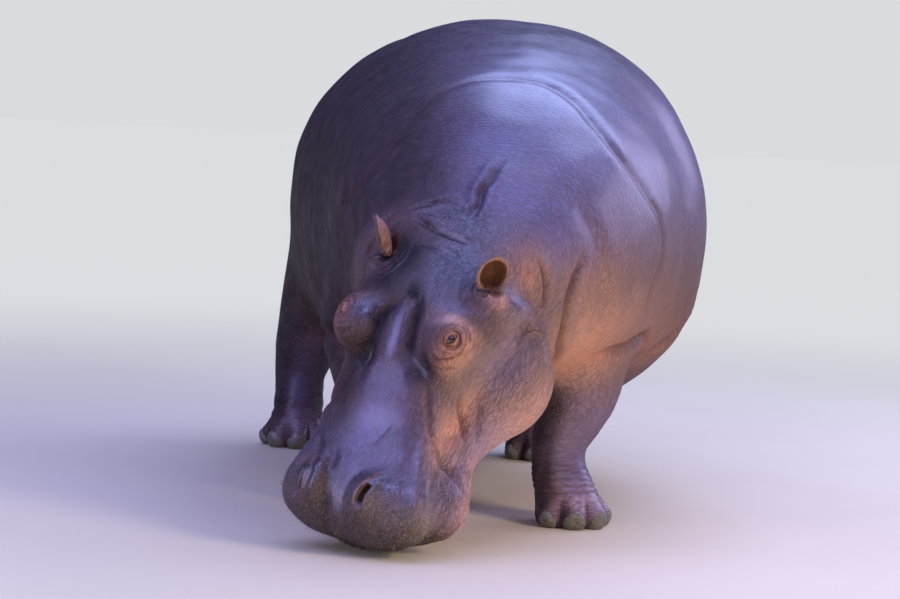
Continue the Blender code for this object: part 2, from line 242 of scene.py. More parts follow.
def refined(mesh, wanted):  # splits the faces around the points that are wanted
    inside = wanted(meshPoints(mesh))
    bm = bmesh.new()
    bm.from_mesh(mesh)
    bm.verts.ensure_lookup_table()
    edges = [edge for edge in bm.edges if inside[edge.verts[0].index] and inside[edge.verts[1].index]]
    bmesh.ops.subdivide_edges(bm, edges=edges, cuts=1, use_grid_fill=True)
    crowded = [face for face in bm.faces if len(face.verts) > 4]
    bmesh.ops.triangulate(bm, faces=crowded)
    bm.to_mesh(mesh)
    bm.free()
    fairSkin(mesh, 0.5 * wanted(meshPoints(mesh)), skinPlan["fairNew"])
    return mesh


# places on the face in the head's frame, on its left and on its right side
faceSpots = {
    "eye": {1: (0.180, 0.010, 0.036), -1: (-0.180, 0.010, 0.036)},
    "nostril": {1: (0.084, -0.442, -0.034), -1: (-0.118, -0.448, -0.045)},
    "ear": {1: (0.178, 0.190, -0.030), -1: (-0.186, 0.215, -0.038)},
}
headMiddle = fromHead((0, -0.11, -0.15))
footMiddles = [np.array(nodeMiddle(foot)) * (1, 1, 0) for foot in feet]


def farFrom(points, spots):
    return np.min([distanceTo(points, spot) for spot in spots], axis=0)


def bothSides(name):
    return [fromHead(faceSpots[name][side]) for side in (1, -1)]


def nearHead(points, reach):
    return distanceTo(points, headMiddle) < reach


def nearFeet(points):
    away = farFrom(points * (1, 1, 0), footMiddles)
    return (away > 0.05) & (away < 0.2) & (points[:, 2] < 0.10)


def nearWrists(points):
    away = farFrom(points * (1, 1, 0), footMiddles[:2])
    return (away < 0.2) & (points[:, 2] < 0.19) & (points[:, 2] > 0.08)


def faceRegion(points):
    x, y, z = inHead(points).T
    low = -0.33 + 0.10 * smoothStep(np.abs(y + 0.1), 0.1, 0.3)
    nape = (np.abs(x) < 0.13) & (y > 0.2) & (y < 0.66) & (z > -0.22)
    behindEar = (np.abs(x) > 0.12) & (y > 0.2) & (y < 0.38) & (z > -0.24) & nearHead(points, 0.60)
    return (nearHead(points, 0.47) & (y < 0.27) & (z > low)) | nape | behindEar


# the ears, in a frame with its origin at the root, +Z to the tip and -Y out of the cup
earPlan = {
    "tip": (0.24, 0.66, 0.71),  # in the head's frame, mirrored
    "openWay": (0.80, -0.55, 0.24),
    "halfWidth": 0.047,
    "halfLength": 0.057,
    "halfDepth": 0.015,
    "middle": 0.050,  # of the blade, up from the root
    "wall": 0.0055,
    "cup": 0.84,  # the part of the blade that is hollow
    "ridge": 0.0016,  # of the ridges inside the cup
    "curl": 0.009,  # of the edges, forward
    "lean": 0.010,  # of the tip, forward
    "back": 0.012,  # the blade stands this far behind the root
}


def earFrame(side):
    tip = Vector(mirrored(side, earPlan["tip"])).normalized()
    openWay = Vector(mirrored(side, earPlan["openWay"]))
    openWay = (openWay - tip * openWay.dot(tip)).normalized()
    turn = Matrix(((-openWay).cross(tip), -openWay, tip)).transposed().to_4x4()
    return headFrame @ Matrix.Translation(faceSpots["ear"][side]) @ turn


def makeEar(side):
    wide, long, deep = earPlan["halfWidth"], earPlan["halfLength"], earPlan["halfDepth"]
    bm = bmesh.new()
    bmesh.ops.create_uvsphere(bm, u_segments=60, v_segments=44, radius=1)
    for vertex in bm.verts:
        x, y, z = vertex.co
        out = math.hypot(x, z)
        back = deep * math.sqrt(max(0.0, 1 - out * out))
        shallow = 1 - math.exp(-((out / earPlan["cup"]) ** 9))  # 0 in the cup, 1 at the rim
        ridges = earPlan["ridge"] * math.sin(9 * x + 2.5 * z) * math.exp(-((out / 0.55) ** 4))
        if y < 0:
            y = (back - earPlan["wall"] + ridges) * (1 - shallow) + y * deep * 0.8 * shallow
        else:
            y = y * deep
        pointed = 1 - 0.16 * max(0.0, z) ** 3
        narrow = 1 - 0.24 * smoothStep(-z, 0.1, 1.0)
        curl = earPlan["curl"] * x * x * (1 + 0.5 * smoothStep(-z, 0.0, 0.9) - 0.5 * smoothStep(z, 0.2, 0.9))
        lean = earPlan["lean"] * max(0.0, z) ** 2
        depth = y + earPlan["back"] - curl - lean
        vertex.co = (x * wide * narrow * pointed, depth, z * long + earPlan["middle"])
    blade = meshFrom(bm, "ear")
    blade.transform(earFrame(side))
    return blade


def drawnOnto(mesh, fine, weight):  # moves points to the nearest place on a finer form
    target, work = addObject("fine", fine), addObject("coarse", mesh)
    group = work.vertex_groups.new(name="drawn")
    for level in range(1, 11):
        chosen = np.where(np.round(weight * 10) == level)[0].tolist()
        group.add(chosen, level / 10, "REPLACE")
    wrap = work.modifiers.new("wrap", "SHRINKWRAP")
    wrap.target = target
    wrap.vertex_group = "drawn"
    graph = bpy.context.evaluated_depsgraph_get()
    result = bpy.data.meshes.new_from_object(work.evaluated_get(graph))
    for each in (target, work):
        bpy.data.objects.remove(each)
    return result


# a fold on the body is given by (angle from straight up towards the animal's left, y) pairs
bodyAxis = {"height": 0.80, "y": (-1.12, -0.80, -0.42, 0.04, 0.30, 0.56, 0.80, 1.02, 1.30),
            "x": (-0.11, -0.014, 0.046, 0.070, 0.066, -0.004, -0.089, -0.139, -0.174)}
bodyFolds = {
    "shoulder": [(-12, -0.47), (0, -0.455), (12, -0.475), (25, -0.54), (43, -0.66), (59, -0.68),
                 (70, -0.64), (78, -0.58), (91, -0.55), (104, -0.60), (117, -0.48)],
    "nape": [(50, -0.94), (60, -0.93), (72, -0.925), (83, -0.92), (100, -0.90), (121, -0.81), (131, -0.72)],
    "neck": [(80, -0.94), (87, -0.96), (96, -0.985), (106, -1.005), (116, -1.00), (126, -0.96),
             (136, -0.89), (150, -0.70)],
    "belly": [(134, -0.20), (123, -0.14), (118, -0.08), (113, -0.03), (108, 0.05), (104, 0.16)],
    "elbow": [(142, -0.66), (132, -0.65), (127, -0.60), (123, -0.52), (121, -0.42), (122, -0.32),
              (126, -0.22)],
    "flank": [(104, 0.42), (115, 0.46), (130, 0.55), (142, 0.66)],
    "rump": [(60, 1.17), (85, 1.18), (110, 1.14), (135, 1.05)],
}


def bodyCurve(tree, pairs, side):
    places = []
    for angle, y in pairs:
        start = Vector((np.interp(y, bodyAxis["y"], bodyAxis["x"]), y, bodyAxis["height"]))
        turn = math.radians(side * angle)
        hit = tree.ray_cast(start, Vector((math.sin(turn), 0, math.cos(turn))))[0]
        places.append(np.array(hit if hit else start))
    return throughPoints(places)


def nearCurves(points, curves, reach):
    near = np.zeros(len(points), bool)
    for curve in curves:
        near |= np.linalg.norm(alongCurve(points, curve, reach)[0], axis=1) < reach
    return near


def wholeSkin():
    mesh = fusedFlesh(skinPlan["voxel"], skinPlan["fairAll"])
    points = meshPoints(mesh)
    trunkOnly = smoothStep(distanceTo(points, headMiddle), 0.42, 0.60) * smoothStep(points[:, 2], 0.30, 0.55)
    fairSkin(mesh, 0.5 * trunkOnly, skinPlan["fairTrunk"])
    tree = surfaceTree(mesh, meshPoints(mesh))
    folds = [bodyCurve(tree, pairs, side) for pairs in bodyFolds.values() for side in (1, -1)]
    sharpFolds = folds[:2] + folds[4:6]  # of the shoulder and the neck
    wide, narrow = skinPlan["foldReaches"]
    headReach, footHeight = skinPlan["headReach"], skinPlan["footHeight"]
    mesh = refined(mesh, lambda at: (nearHead(at, headReach) | (at[:, 2] < footHeight)
                                     | nearCurves(at, folds, wide)))
    points = meshPoints(mesh)
    detail = 1 - smoothStep(distanceTo(points, headMiddle), 0.40, 0.55)
    detail = np.maximum(detail, 1 - smoothStep(points[:, 2], 0.22, 0.30))
    mesh = drawnOnto(mesh, fusedFlesh(skinPlan["fineVoxel"], skinPlan["fairFine"]), detail)
    mesh = refined(mesh, lambda at: (faceRegion(at) | nearFeet(at) | nearWrists(at)
                                     | nearCurves(at, sharpFolds, narrow)))
    eyes, noses, ears = bothSides("eye"), bothSides("nostril"), bothSides("ear")
    for eyeReach, noseReach, earReach in skinPlan["faceReaches"]:
        mesh = refined(mesh, lambda at: ((farFrom(at, eyes) < eyeReach) | (farFrom(at, noses) < noseReach)
                                         | (farFrom(at, ears) < earReach)))
    for side in (1, -1):
        mesh = united(mesh, makeEar(side))
    tail = modified(weldedCopy(["tail"]), "SUBSURF", levels=2, render_levels=2)
    return united(mesh, tail)


# shaping the skin: each step moves its points, and notes where folds and hollows are, which get painted
# shade
def startShape(mesh):
    points = meshPoints(mesh)
    shape = {"mesh": mesh, "points": points, "tree": surfaceTree(mesh, points)}
    for mask in ("fold", "dark", "lids", "rosy"):
        shape[mask] = np.zeros(len(points))
    shape["drift"] = noiseAt(points, 14) + 0.5 * noiseAt(points, 45)
    refresh(shape)
    shape["plain"] = relaxed(mesh, shape["normals"], 0.5, 12)
    return shape


def refresh(shape):
    setPoints(shape["mesh"], shape["points"])
    shape["normals"] = meshPoints(shape["mesh"], "normal")


def note(shape, mask, values):  # keeps the stronger of what is noted already and the new values
    shape[mask] = np.maximum(shape[mask], values)


def noiseAt(points, scale, offset=0.0):  # three smooth noises between about -0.5 and 0.5
    moved = points * scale + offset
    return np.array([noise.noise_vector(at) for at in moved.tolist()]) * 0.7


def onSkin(shape, points):
    return np.array([shape["tree"].find_nearest(Vector(at))[0] for at in points])


def moveOut(shape, amount):
    shape["points"] += shape["normals"] * amount[:, None]


def swell(shape, middle, radii, height):  # in the head's frame
    q = (inHead(shape["points"]) - middle) / radii
    moveOut(shape, height * np.exp(-(q * q).sum(axis=1)))


def crease(shape, curve, width, depth, lip=0.45, over=0.0, fade=0.25, wobble=1.0, dark=0.7, mask="fold"):
    wavy = shape["points"] + wobble * width * shape["drift"]
    offset, part, way = alongCurve(wavy, curve, 6 * width + 0.02)
    normals = shape["normals"]
    offset = offset - normals * (offset * normals).sum(axis=1)[:, None]
    across = (offset * np.cross(normals, way)).sum(axis=1)
    distance = np.linalg.norm(offset, axis=1)
    ends = 1 - smoothStep(distance, 5 * width, 6 * width)
    ends = ends * smoothStep(part, 0, fade) * (1 - smoothStep(part, 1 - fade, 1))
    groove = bell(distance, 0, width)
    bank = bell(distance, 2.2 * width, 1.3 * width) * (1 + over * np.tanh(across / width))
    moveOut(shape, depth * ends * (lip * bank - groove))
    # painted shade in the groove, as strong as dark
    note(shape, mask, dark * groove * ends)


def headCrease(shape, points, *sizes, sides=(1, -1), **more):
    for side in sides:
        places = onSkin(shape, fromHead([mirrored(side, at) for at in points]))
        crease(shape, throughPoints(places), *sizes, **more)


def skinAxes(side, out, along):  # along, across towards the middle or up, and out, from the head's frame
    out, along = headTurn @ out, headTurn @ along
    out /= np.linalg.norm(out)
    along -= out * (along @ out)
    along /= np.linalg.norm(along)
    return along, np.cross(out, along) * side, out


eyePlan = {
    "gaze": (0.72, -0.18, 0.67),  # in the head's frame, mirrored
    "long": (0.38, 0.90, -0.20),  # from the tear corner to the back corner
    "halfLong": 0.0180,
    "highUp": 0.0100,
    "highDown": 0.0074,
    "gap": 0.0004,  # on each side of the eyeball's own radius
    "lid": 0.0040,  # thickness over the eyeball
    "lidSlope": 0.0026,
    "pocket": 0.007,  # depth of the skin behind the eyeball's front
    "rolledEdge": 0.0012,  # of the upper lid
    "blend": (0.0205, 0.0300),  # where the lids pass into the mound
    "tear": 0.0020,  # depth of the tear corner
    # reach, depth and width of the rings round the eye
    "folds": ((0.0190, 0.0024, 0.0017), (0.0250, 0.0020, 0.0020), (0.0335, 0.0030, 0.0034)),
}


def eyeAxes(side):
    return skinAxes(side, mirrored(side, eyePlan["gaze"]), mirrored(side, eyePlan["long"]))


def eyeSphere(side):
    node = "eye_left" if side > 0 else "eye_right"
    low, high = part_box(node)
    return np.array(nodeMiddle(node)), (high[2] - low[2]) / 2


def shapeEye(shape, side):
    middle, radius = eyeSphere(side)
    along, up, gaze = eyeAxes(side)
    local = shape["points"] - middle
    u, v, w = local @ along, local @ up, local @ gaze
    reach = np.hypot(u, v)
    front = (reach < 0.07) & (w > -0.015)
    ball = np.sqrt(np.clip(radius**2 - reach**2, 0, None))
    lid = np.sqrt(np.clip((radius + eyePlan["lid"]) ** 2 - reach**2, 0.00004, None))
    high = np.where(v > 0, eyePlan["highUp"], eyePlan["highDown"])
    # positive within the opening
    inside = high * np.clip(1 - (u / eyePlan["halfLong"]) ** 2, -3, 1) - np.abs(v)
    height = ball + eyePlan["gap"] + (lid - ball) * smoothStep(-inside, 0.0, eyePlan["lidSlope"])
    height -= eyePlan["pocket"] * smoothStep(inside, 0.0, 0.0022)
    height += eyePlan["rolledEdge"] * bell(inside, -0.0036, 0.0022) * (v > 0)
    target = w + (height - w) * (1 - smoothStep(reach, *eyePlan["blend"]))
    oval = np.sqrt((u / 1.28) ** 2 + v**2) * (1 + 0.10 * shape["drift"][:, 1])
    ringFolds = np.zeros(len(u))
    for at, deep, wide in eyePlan["folds"]:
        ring = bell(oval, at, wide) * (0.70 + 0.30 * np.tanh((v + 0.3 * u) / 0.010))
        target += deep * (0.45 * bell(oval - at, 2.1 * wide, 1.4 * wide) - ring)
        ringFolds = np.maximum(ringFolds, ring)
    tear = np.exp(-(((u + 0.0215) / 0.0050) ** 2 + ((v + 0.0040 + 0.4 * (u + 0.0180)) / 0.0017) ** 2))
    target -= eyePlan["tear"] * tear
    shape["points"] += np.where(front, target - w, 0)[:, None] * gaze
    # painted shade in the rings round the eye and along the lid opening
    note(shape, "fold", 0.55 * ringFolds * front)
    note(shape, "dark", 0.80 * bell(inside, 0, 0.0016) * (reach < 0.025) * front)
    note(shape, "lids", (1 - smoothStep(oval, 0.016, 0.030)) * front)


nostrilPlan = {
    "along": (0.10, 1.0, -0.15),  # in the head's frame, mirrored
    "out": {1: (0.10, -0.30, 0.95), -1: (-0.38, -0.30, 0.85)},
    "halfLong": 0.034,
    "halfWide": 0.0135,
    "bend": 5.0,
    "depth": 0.034,
    "rim": 0.0042,
}


def shapeNostril(shape, side):
    middle = onSkin(shape, [fromHead(faceSpots["nostril"][side])])[0]
    outward = np.array(nostrilPlan["out"][side])
    along, medial, out = skinAxes(side, outward, mirrored(side, nostrilPlan["along"]))
    local = shape["points"] - middle
    u, v, w = local @ along, local @ medial, local @ out
    bend = nostrilPlan["bend"] * np.minimum(np.abs(u), nostrilPlan["halfLong"]) ** 2
    lateral = -(v + bend - 0.002) / nostrilPlan["halfWide"]
    long = np.abs(u) / nostrilPlan["halfLong"]
    near = np.abs(w) < 0.05
    slope = smoothStep(lateral, -1.10, -0.05) * (1 - smoothStep(lateral, 0.30, 1.00))
    pit = slope * (1 - smoothStep(long, 0.40, 1.0)) * near
    rim = bell(np.hypot(long, lateral), 1.55, 0.45) * near
    inward = -out + 0.15 * medial
    shape["points"] += nostrilPlan["depth"] * pit[:, None] * inward
    shape["points"] += (nostrilPlan["rim"] * rim * (1 + 0.4 * np.tanh(lateral)))[:, None] * out
    # painted shade in the nostril's pit
    note(shape, "dark", smoothStep(pit, 0.30, 0.62))
    note(shape, "rosy", np.maximum(0.8 * rim * (lateral < 0), smoothStep(pit, 0.05, 0.30)) * near)


headBulges = (  # middle, radii and height, in the head's frame, mirrored
    ((0.095, -0.075, -0.010), (0.035, 0.035, 0.05), -0.012),  # in front of the eye mound
    ((0.205, 0.105, -0.070), (0.030, 0.030, 0.04), -0.004),  # behind the eye
    ((0.135, -0.110, -0.060), (0.030, 0.030, 0.04), -0.007),
    ((0.150, 0.015, 0.050), (0.050, 0.055, 0.05), 0.004),
    ((0.190, 0.320, -0.125), (0.055, 0.060, 0.060), 0.014),  # behind the ear
    ((0.205, 0.182, -0.036), (0.022, 0.024, 0.030), 0.009),  # below the ear
    ((0.085, -0.495, -0.130), (0.065, 0.050, 0.06), 0.010),  # upper lip
    ((0.205, -0.370, -0.235), (0.050, 0.070, 0.05), 0.010),
    ((0.110, -0.390, -0.070), (0.035, 0.050, 0.04), 0.006),  # beside the nostril
    ((0.175, -0.170, -0.215), (0.030, 0.060, 0.040), 0.008),  # soft skin behind the snout
    ((0.230, -0.040, -0.300), (0.040, 0.100, 0.080), 0.008),  # jowl
    ((0.245, 0.090, -0.280), (0.060, 0.090, 0.090), 0.020),
    ((0.262, 0.030, -0.345), (0.070, 0.130, 0.100), 0.018),
    ((0.250, 0.175, -0.262), (0.060, 0.060, 0.050), 0.018),  # end of the cheek bone
    ((0.228, 0.118, -0.205), (0.040, 0.045, 0.060), 0.015),  # between the cheek bone and the jowl
)
# a fold or a ridge: points in the head's frame, width, depth (a ridge has it negative), other settings
mirroredFolds = (
    ([(-0.06, -0.53, -0.255), (0.06, -0.53, -0.255), (0.15, -0.490, -0.268), (0.205, -0.41, -0.284),
      (0.235, -0.36, -0.290), (0.245, -0.31, -0.290), (0.236, -0.26, -0.278), (0.216, -0.215, -0.262)],
      0.0065, 0.011, {"lip": 0.4, "fade": 0.06, "wobble": 0.5, "dark": 0.9}),  # mouth
    ([(0.105, -0.080, -0.035), (0.121, -0.120, -0.054), (0.148, -0.203, -0.098), (0.173, -0.245, -0.157),
      (0.206, -0.285, -0.221), (0.232, -0.320, -0.262)], 0.0085, 0.0065, {"over": 0.35, "fade": 0.22,
      "dark": 0.5}),
    ([(0.173, -0.062, -0.068), (0.171, -0.095, -0.125), (0.168, -0.126, -0.185), (0.184, -0.172, -0.212),
      (0.205, -0.22, -0.240)], 0.0080, 0.0065, {"fade": 0.35}),
    ([(0.188, -0.036, -0.168), (0.193, -0.093, -0.213), (0.202, -0.147, -0.240), (0.214, -0.185, -0.262)],
      0.0085, 0.0050, {"fade": 0.4, "dark": 0.4}),
    ([(0.160, -0.085, -0.075), (0.158, -0.120, -0.120), (0.162, -0.155, -0.160)], 0.0050, 0.0030,
      {"fade": 0.4, "dark": 0.4}),
    ([(0.200, 0.120, -0.030), (0.228, 0.108, -0.075), (0.240, 0.110, -0.140), (0.246, 0.100, -0.210)],
      0.020, 0.0020, {"fade": 0.3, "dark": 0.0, "lip": 0.1}),  # below the cheek bone
    ([(0.186, 0.160, -0.020), (0.216, 0.182, -0.060), (0.238, 0.192, -0.115), (0.250, 0.194, -0.175),
      (0.256, 0.184, -0.235), (0.256, 0.150, -0.300)], 0.030, -0.0240, {"fade": 0.30, "dark": 0.0,
      "lip": 0.0}),  # cheek bone
    # fills the gap below it
    ([(0.226, 0.070, -0.170), (0.226, 0.125, -0.188), (0.230, 0.163, -0.222), (0.242, 0.180, -0.250),
      (0.238, 0.198, -0.290)], 0.019, -0.0150, {"fade": 0.30, "dark": 0.0, "lip": 0.0}),
    ([(0.212, 0.085, -0.050), (0.215, 0.080, -0.090), (0.220, 0.065, -0.130)], 0.0045, 0.0030, {"fade": 0.4,
      "dark": 0.5}),
    ([(0.224, 0.135, -0.110), (0.232, 0.125, -0.165), (0.238, 0.100, -0.220)], 0.0055, 0.0028, {"fade": 0.4,
      "dark": 0.5}),
    # behind the bulge that is behind the ear
    ([(0.190, 0.360, -0.120), (0.200, 0.345, -0.142), (0.218, 0.318, -0.173), (0.228, 0.276, -0.204),
      (0.227, 0.232, -0.215)], 0.0080, 0.0090, {"over": -0.3, "fade": 0.3}),
    ([(0.126, -0.020, 0.040), (0.132, -0.036, 0.038), (0.156, -0.050, 0.032), (0.184, -0.040, 0.028),
      (0.203, -0.018, 0.020), (0.211, 0.012, 0.012)], 0.0036, 0.0038, {"fade": 0.25, "wobble": 0.8,
      "dark": 0.6}),  # below the eye
    ([(0.168, 0.076, 0.020), (0.190, 0.062, 0.013), (0.206, 0.040, 0.008), (0.213, 0.018, 0.004)], 0.0040,
      0.0036, {"fade": 0.3, "wobble": 0.8, "dark": 0.6, "lip": 0.8}),  # behind the eye
    ([(0.120, -0.050, 0.024), (0.150, -0.070, 0.012), (0.185, -0.064, 0.004), (0.210, -0.040, -0.004)],
      0.0046, 0.0030, {"fade": 0.3, "dark": 0.5}),
)
singleFolds = (
    ([(-0.085, -0.320, -0.075), (-0.060, -0.390, -0.055), (-0.042, -0.450, -0.050),
      (-0.028, -0.500, -0.085), (-0.015, -0.540, -0.170)], 0.0150, 0.0110, {"dark": 0.5, "fade": 0.2,
      "wobble": 0.4}),  # between the nostrils
    ([(-0.160, -0.290, -0.095), (-0.105, -0.380, -0.050), (-0.085, -0.430, -0.045),
      (-0.085, -0.490, -0.085)], 0.0090, 0.0050, {"dark": 0.6, "fade": 0.3, "wobble": 0.4}),
    # the hollows on both sides of the ridge between the eyes, noted for painted shade
    ([(0.000, 0.145, 0.010), (0.000, 0.126, 0.015), (0.018, 0.071, 0.010), (0.034, 0.010, -0.005),
      (0.052, -0.044, -0.016), (0.082, -0.078, -0.020)], 0.0150, 0.0150, {"lip": 0.15, "fade": 0.3,
      "wobble": 0.5, "dark": 0.9, "mask": "dark"}),
    ([(-0.034, 0.130, 0.010), (-0.052, 0.075, 0.010), (-0.072, 0.035, 0.004), (-0.076, -0.020, -0.003),
      (-0.088, -0.075, -0.025), (-0.099, -0.150, -0.052)], 0.0170, 0.0150, {"lip": 0.15, "fade": 0.3,
      "wobble": 0.5, "dark": 0.9, "mask": "dark"}),
    # ridge between the eyes
    ([(-0.006, 0.100, 0.016), (-0.014, 0.060, 0.012), (-0.014, 0.000, 0.010), (-0.012, -0.060, 0.000),
      (-0.012, -0.120, -0.020)], 0.0300, -0.0070, {"lip": 0.0, "fade": 0.3, "wobble": 0.4, "dark": 0.0}),
    ([(0.004, 0.36, -0.035), (0.012, 0.42, -0.05), (-0.004, 0.48, -0.07), (-0.020, 0.55, -0.10),
      (-0.035, 0.62, -0.13)], 0.0100, 0.0150, {"fade": 0.3, "wobble": 1.4, "dark": 1.0}),  # nape
    # across the forehead
    ([(-0.155, 0.334, -0.036), (-0.12, 0.329, -0.029), (-0.04, 0.312, -0.019), (0.026, 0.306, -0.023),
      (0.078, 0.298, -0.030)], 0.0080, 0.0100, {"fade": 0.25, "wobble": 0.7, "dark": 0.9}),
    ([(-0.20, 0.345, -0.044), (-0.122, 0.387, -0.039), (-0.075, 0.410, -0.048), (-0.011, 0.40, -0.05)],
      0.0055, 0.0070, {"fade": 0.3, "wobble": 0.9, "dark": 0.9}),
    ([(-0.12, 0.26, -0.012), (-0.08, 0.265, -0.008), (-0.02, 0.262, -0.004), (0.04, 0.250, -0.002),
      (0.08, 0.255, -0.008)], 0.0060, 0.0026, {"fade": 0.35, "wobble": 0.9, "lip": 0.3, "dark": 0.4}),
    ([(0.072, -0.215, -0.07), (0.055, -0.245, -0.072), (0.034, -0.290, -0.071), (0.004, -0.315, -0.069)],
      0.0048, 0.0030, {"fade": 0.3, "dark": 0.8, "lip": 0.2}),
)
earRings = {  # round the roots of the ears
    "reaches": (0.044, 0.054, 0.064, 0.076),
    "angles": (130, 160, 190, 220, 250, 280),
    "up": 0.012,
    "width": 0.0036,
    "depth": 0.0044,
}


def shapeHead(shape):
    for middle, radii, height in headBulges:
        for side in (1, -1):
            swell(shape, mirrored(side, middle), radii, height)
    swell(shape, (-0.165, -0.190, -0.100), (0.05, 0.12, 0.08), 0.030)  # fuller on the right of the snout
    refresh(shape)
    for points, width, depth, more in mirroredFolds:
        headCrease(shape, points, width, depth, **more)
    for points, width, depth, more in singleFolds:
        headCrease(shape, points, width, depth, sides=(1,), **more)
    for side in (1, -1):
        x, y, z = faceSpots["ear"][side]
        for reach in earRings["reaches"]:
            ring = [(side * x + reach * math.cos(a), y + reach * math.sin(a), z + earRings["up"])
                    for a in np.radians(earRings["angles"])]
            headCrease(shape, ring, earRings["width"], earRings["depth"], sides=(side,), lip=0.7, fade=0.35,
                       wobble=1.4, dark=0.8)
    refresh(shape)
    for side in (1, -1):
        shapeNostril(shape, side)
        shapeEye(shape, side)
    refresh(shape)


bodySizes = {  # width, depth, other settings
    "shoulder": (0.022, 0.0080, {"over": 0.2, "fade": 0.2, "dark": 0.42, "wobble": 0.4, "lip": 0.22}),
    "nape": (0.024, 0.0065, {"dark": 0.05, "wobble": 0.5, "fade": 0.35}),
    "neck": (0.011, 0.0120, {"over": 0.5, "dark": 0.8, "wobble": 0.5}),
    "belly": (0.014, 0.0100, {"over": -0.6, "fade": 0.35, "dark": 0.4}),
    "elbow": (0.014, 0.0150, {"over": -0.5, "dark": 0.6, "fade": 0.3, "wobble": 0.6}),
    "flank": (0.016, 0.0060, {"over": 0.3, "fade": 0.45, "dark": 0.3}),
    "rump": (0.016, 0.0060, {"fade": 0.4, "dark": 0.2}),
}


def shapeBody(shape):
    points = shape["points"]
    slow = noiseAt(points, 3.2, 5.0)[:, 0] * 0.016 + noiseAt(points, 9.0, 2.0)[:, 1] * 0.005
    moveOut(shape, slow * smoothStep(points[:, 2], 0.10, 0.35)
            * smoothStep(distanceTo(points, headMiddle), 0.35, 0.60))
    refresh(shape)
    for name, pairs in bodyFolds.items():
        width, depth, more = bodySizes[name]
        for side in (1, -1):
            crease(shape, bodyCurve(shape["tree"], pairs, side), width, depth, **more)
    refresh(shape)


footPlan = {
    "toeAngles": (-66, -22, 22, 66),  # of the toes, from straight ahead
    "cleftAngles": (-44, 0, 44),  # between the toes
    "turn": {"forefoot_left": 30, "forefoot_right": -12, "hindfoot_left": 22, "hindfoot_right": -18},
    "place": {"forefoot_left": (0.2826, -0.5589), "forefoot_right": (-0.2944, -0.4589),
              "hindfoot_left": (0.2126, 0.8411), "hindfoot_right": (-0.5734, 0.8411)},
    "nailMiddle": (0, -0.103, 0.024),  # in a toe's frame, -Y out along the toe
    "nailRadii": (0.034, 0.021, 0.036),
    "nailPitch": 26,
    "outerSmall": 0.86,  # of the outer nails
    "taper": 0.35,
    "rings": (0.098, 0.117, 0.134, 0.153, 0.170),  # heights of the rings round the wrist
    "ringWidth": 0.0042,
    "cleft": 0.010,
    "seat": 0.0045,  # the skin lies this far behind a nail's face
    "cuticle": 0.0028,
}


def toeFrame(foot, angle):
    turn = Matrix.Rotation(math.radians(angle + footPlan["turn"][foot]), 4, "Z")
    return Matrix.Translation((*footPlan["place"][foot], 0)) @ turn


def nailFrame(foot, angle):
    pitch = Matrix.Rotation(math.radians(footPlan["nailPitch"]), 4, "X")
    return toeFrame(foot, angle) @ Matrix.Translation(footPlan["nailMiddle"]) @ pitch


def nailSize(angle):
    small = footPlan["outerSmall"] if abs(angle) > 40 else 1.0
    wide, thick, high = footPlan["nailRadii"]
    return wide * small, thick, high * small


def nailTaper(up):  # the nail narrows towards its root
    return 1 - footPlan["taper"] * smoothStep(np.asarray(up), 0.0, 1.0)


def shapeFoot(shape, foot):
    points = shape["points"]
    flat = points[:, :2] - footPlan["place"][foot]
    z = points[:, 2]
    reach = np.linalg.norm(flat, axis=1)
    here = (reach < 0.20) & (z < 0.30)
    angle = np.arctan2(flat[:, 0], -flat[:, 1]) - math.radians(footPlan["turn"][foot])
    angle = (angle + np.pi) % (2 * np.pi) - np.pi
    low = (1 - smoothStep(z, 0.055, 0.100)) * smoothStep(reach, 0.05, 0.09) * here
    for cleft in np.radians(footPlan["cleftAngles"]):
        groove = bell(angle, cleft, 0.10) * low
        points[:, :2] -= (footPlan["cleft"] * groove / np.maximum(reach, 0.02))[:, None] * flat
        # painted shade in the cleft between the toes
        note(shape, "fold", 0.9 * bell(angle, cleft, 0.05) * low)
    for height in footPlan["rings"]:
        deep = 0.0026 + 0.0012 * math.sin(70 * height)
        wave = height + 0.007 * np.sin(2 * angle + 20 * height) + 0.008 * shape["drift"][:, 2]
        ring = bell(z, wave, footPlan["ringWidth"]) * here
        bank = bell(z - wave, 0.009, 0.005) * here
        points[:, :2] += ((0.5 * deep * bank - deep * ring) / np.maximum(reach, 0.02))[:, None] * flat
        # painted shade in the ring round the wrist
        note(shape, "fold", 0.5 * ring)
    for toe in footPlan["toeAngles"]:
        shapeToe(shape, foot, toe)
    points[:, 2] = np.maximum(points[:, 2], 0.0)


def shapeToe(shape, foot, toe):  # a seat and a raised edge for the nail
    turn, middle = np.array(nailFrame(foot, toe).to_3x3()), np.array(nailFrame(foot, toe).translation)
    wide, thick, high = nailSize(toe)
    near = np.where(distanceTo(shape["points"], middle) < 0.065)[0]
    at = (shape["points"][near] - middle) @ turn
    ratio = np.hypot(at[:, 0] / (wide * nailTaper(at[:, 2] / high)), at[:, 2] / high)
    seat = -thick * np.sqrt(np.clip(1 - np.minimum(ratio, 1) ** 2, 0, 1)) + footPlan["seat"]
    front = at[:, 1] < 0.012
    at[:, 1] += np.maximum(seat - at[:, 1], 0) * (1 - smoothStep(ratio, 0.86, 0.97)) * front
    at[:, 1] -= footPlan["cuticle"] * (bell(ratio, 1.16, 0.12) * front * smoothStep(at[:, 2], -0.030, 0.000))
    shape["points"][near] = at @ turn.T + middle
    # painted shade in the groove at the nail's edge
    shape["fold"][near] = np.maximum(shape["fold"][near], 0.5 * bell(ratio, 1.0, 0.05) * front)


def shapeSkin(shape):
    shapeBody(shape)
    shapeHead(shape)
    for foot in feet:
        shapeFoot(shape, foot)
    refresh(shape)
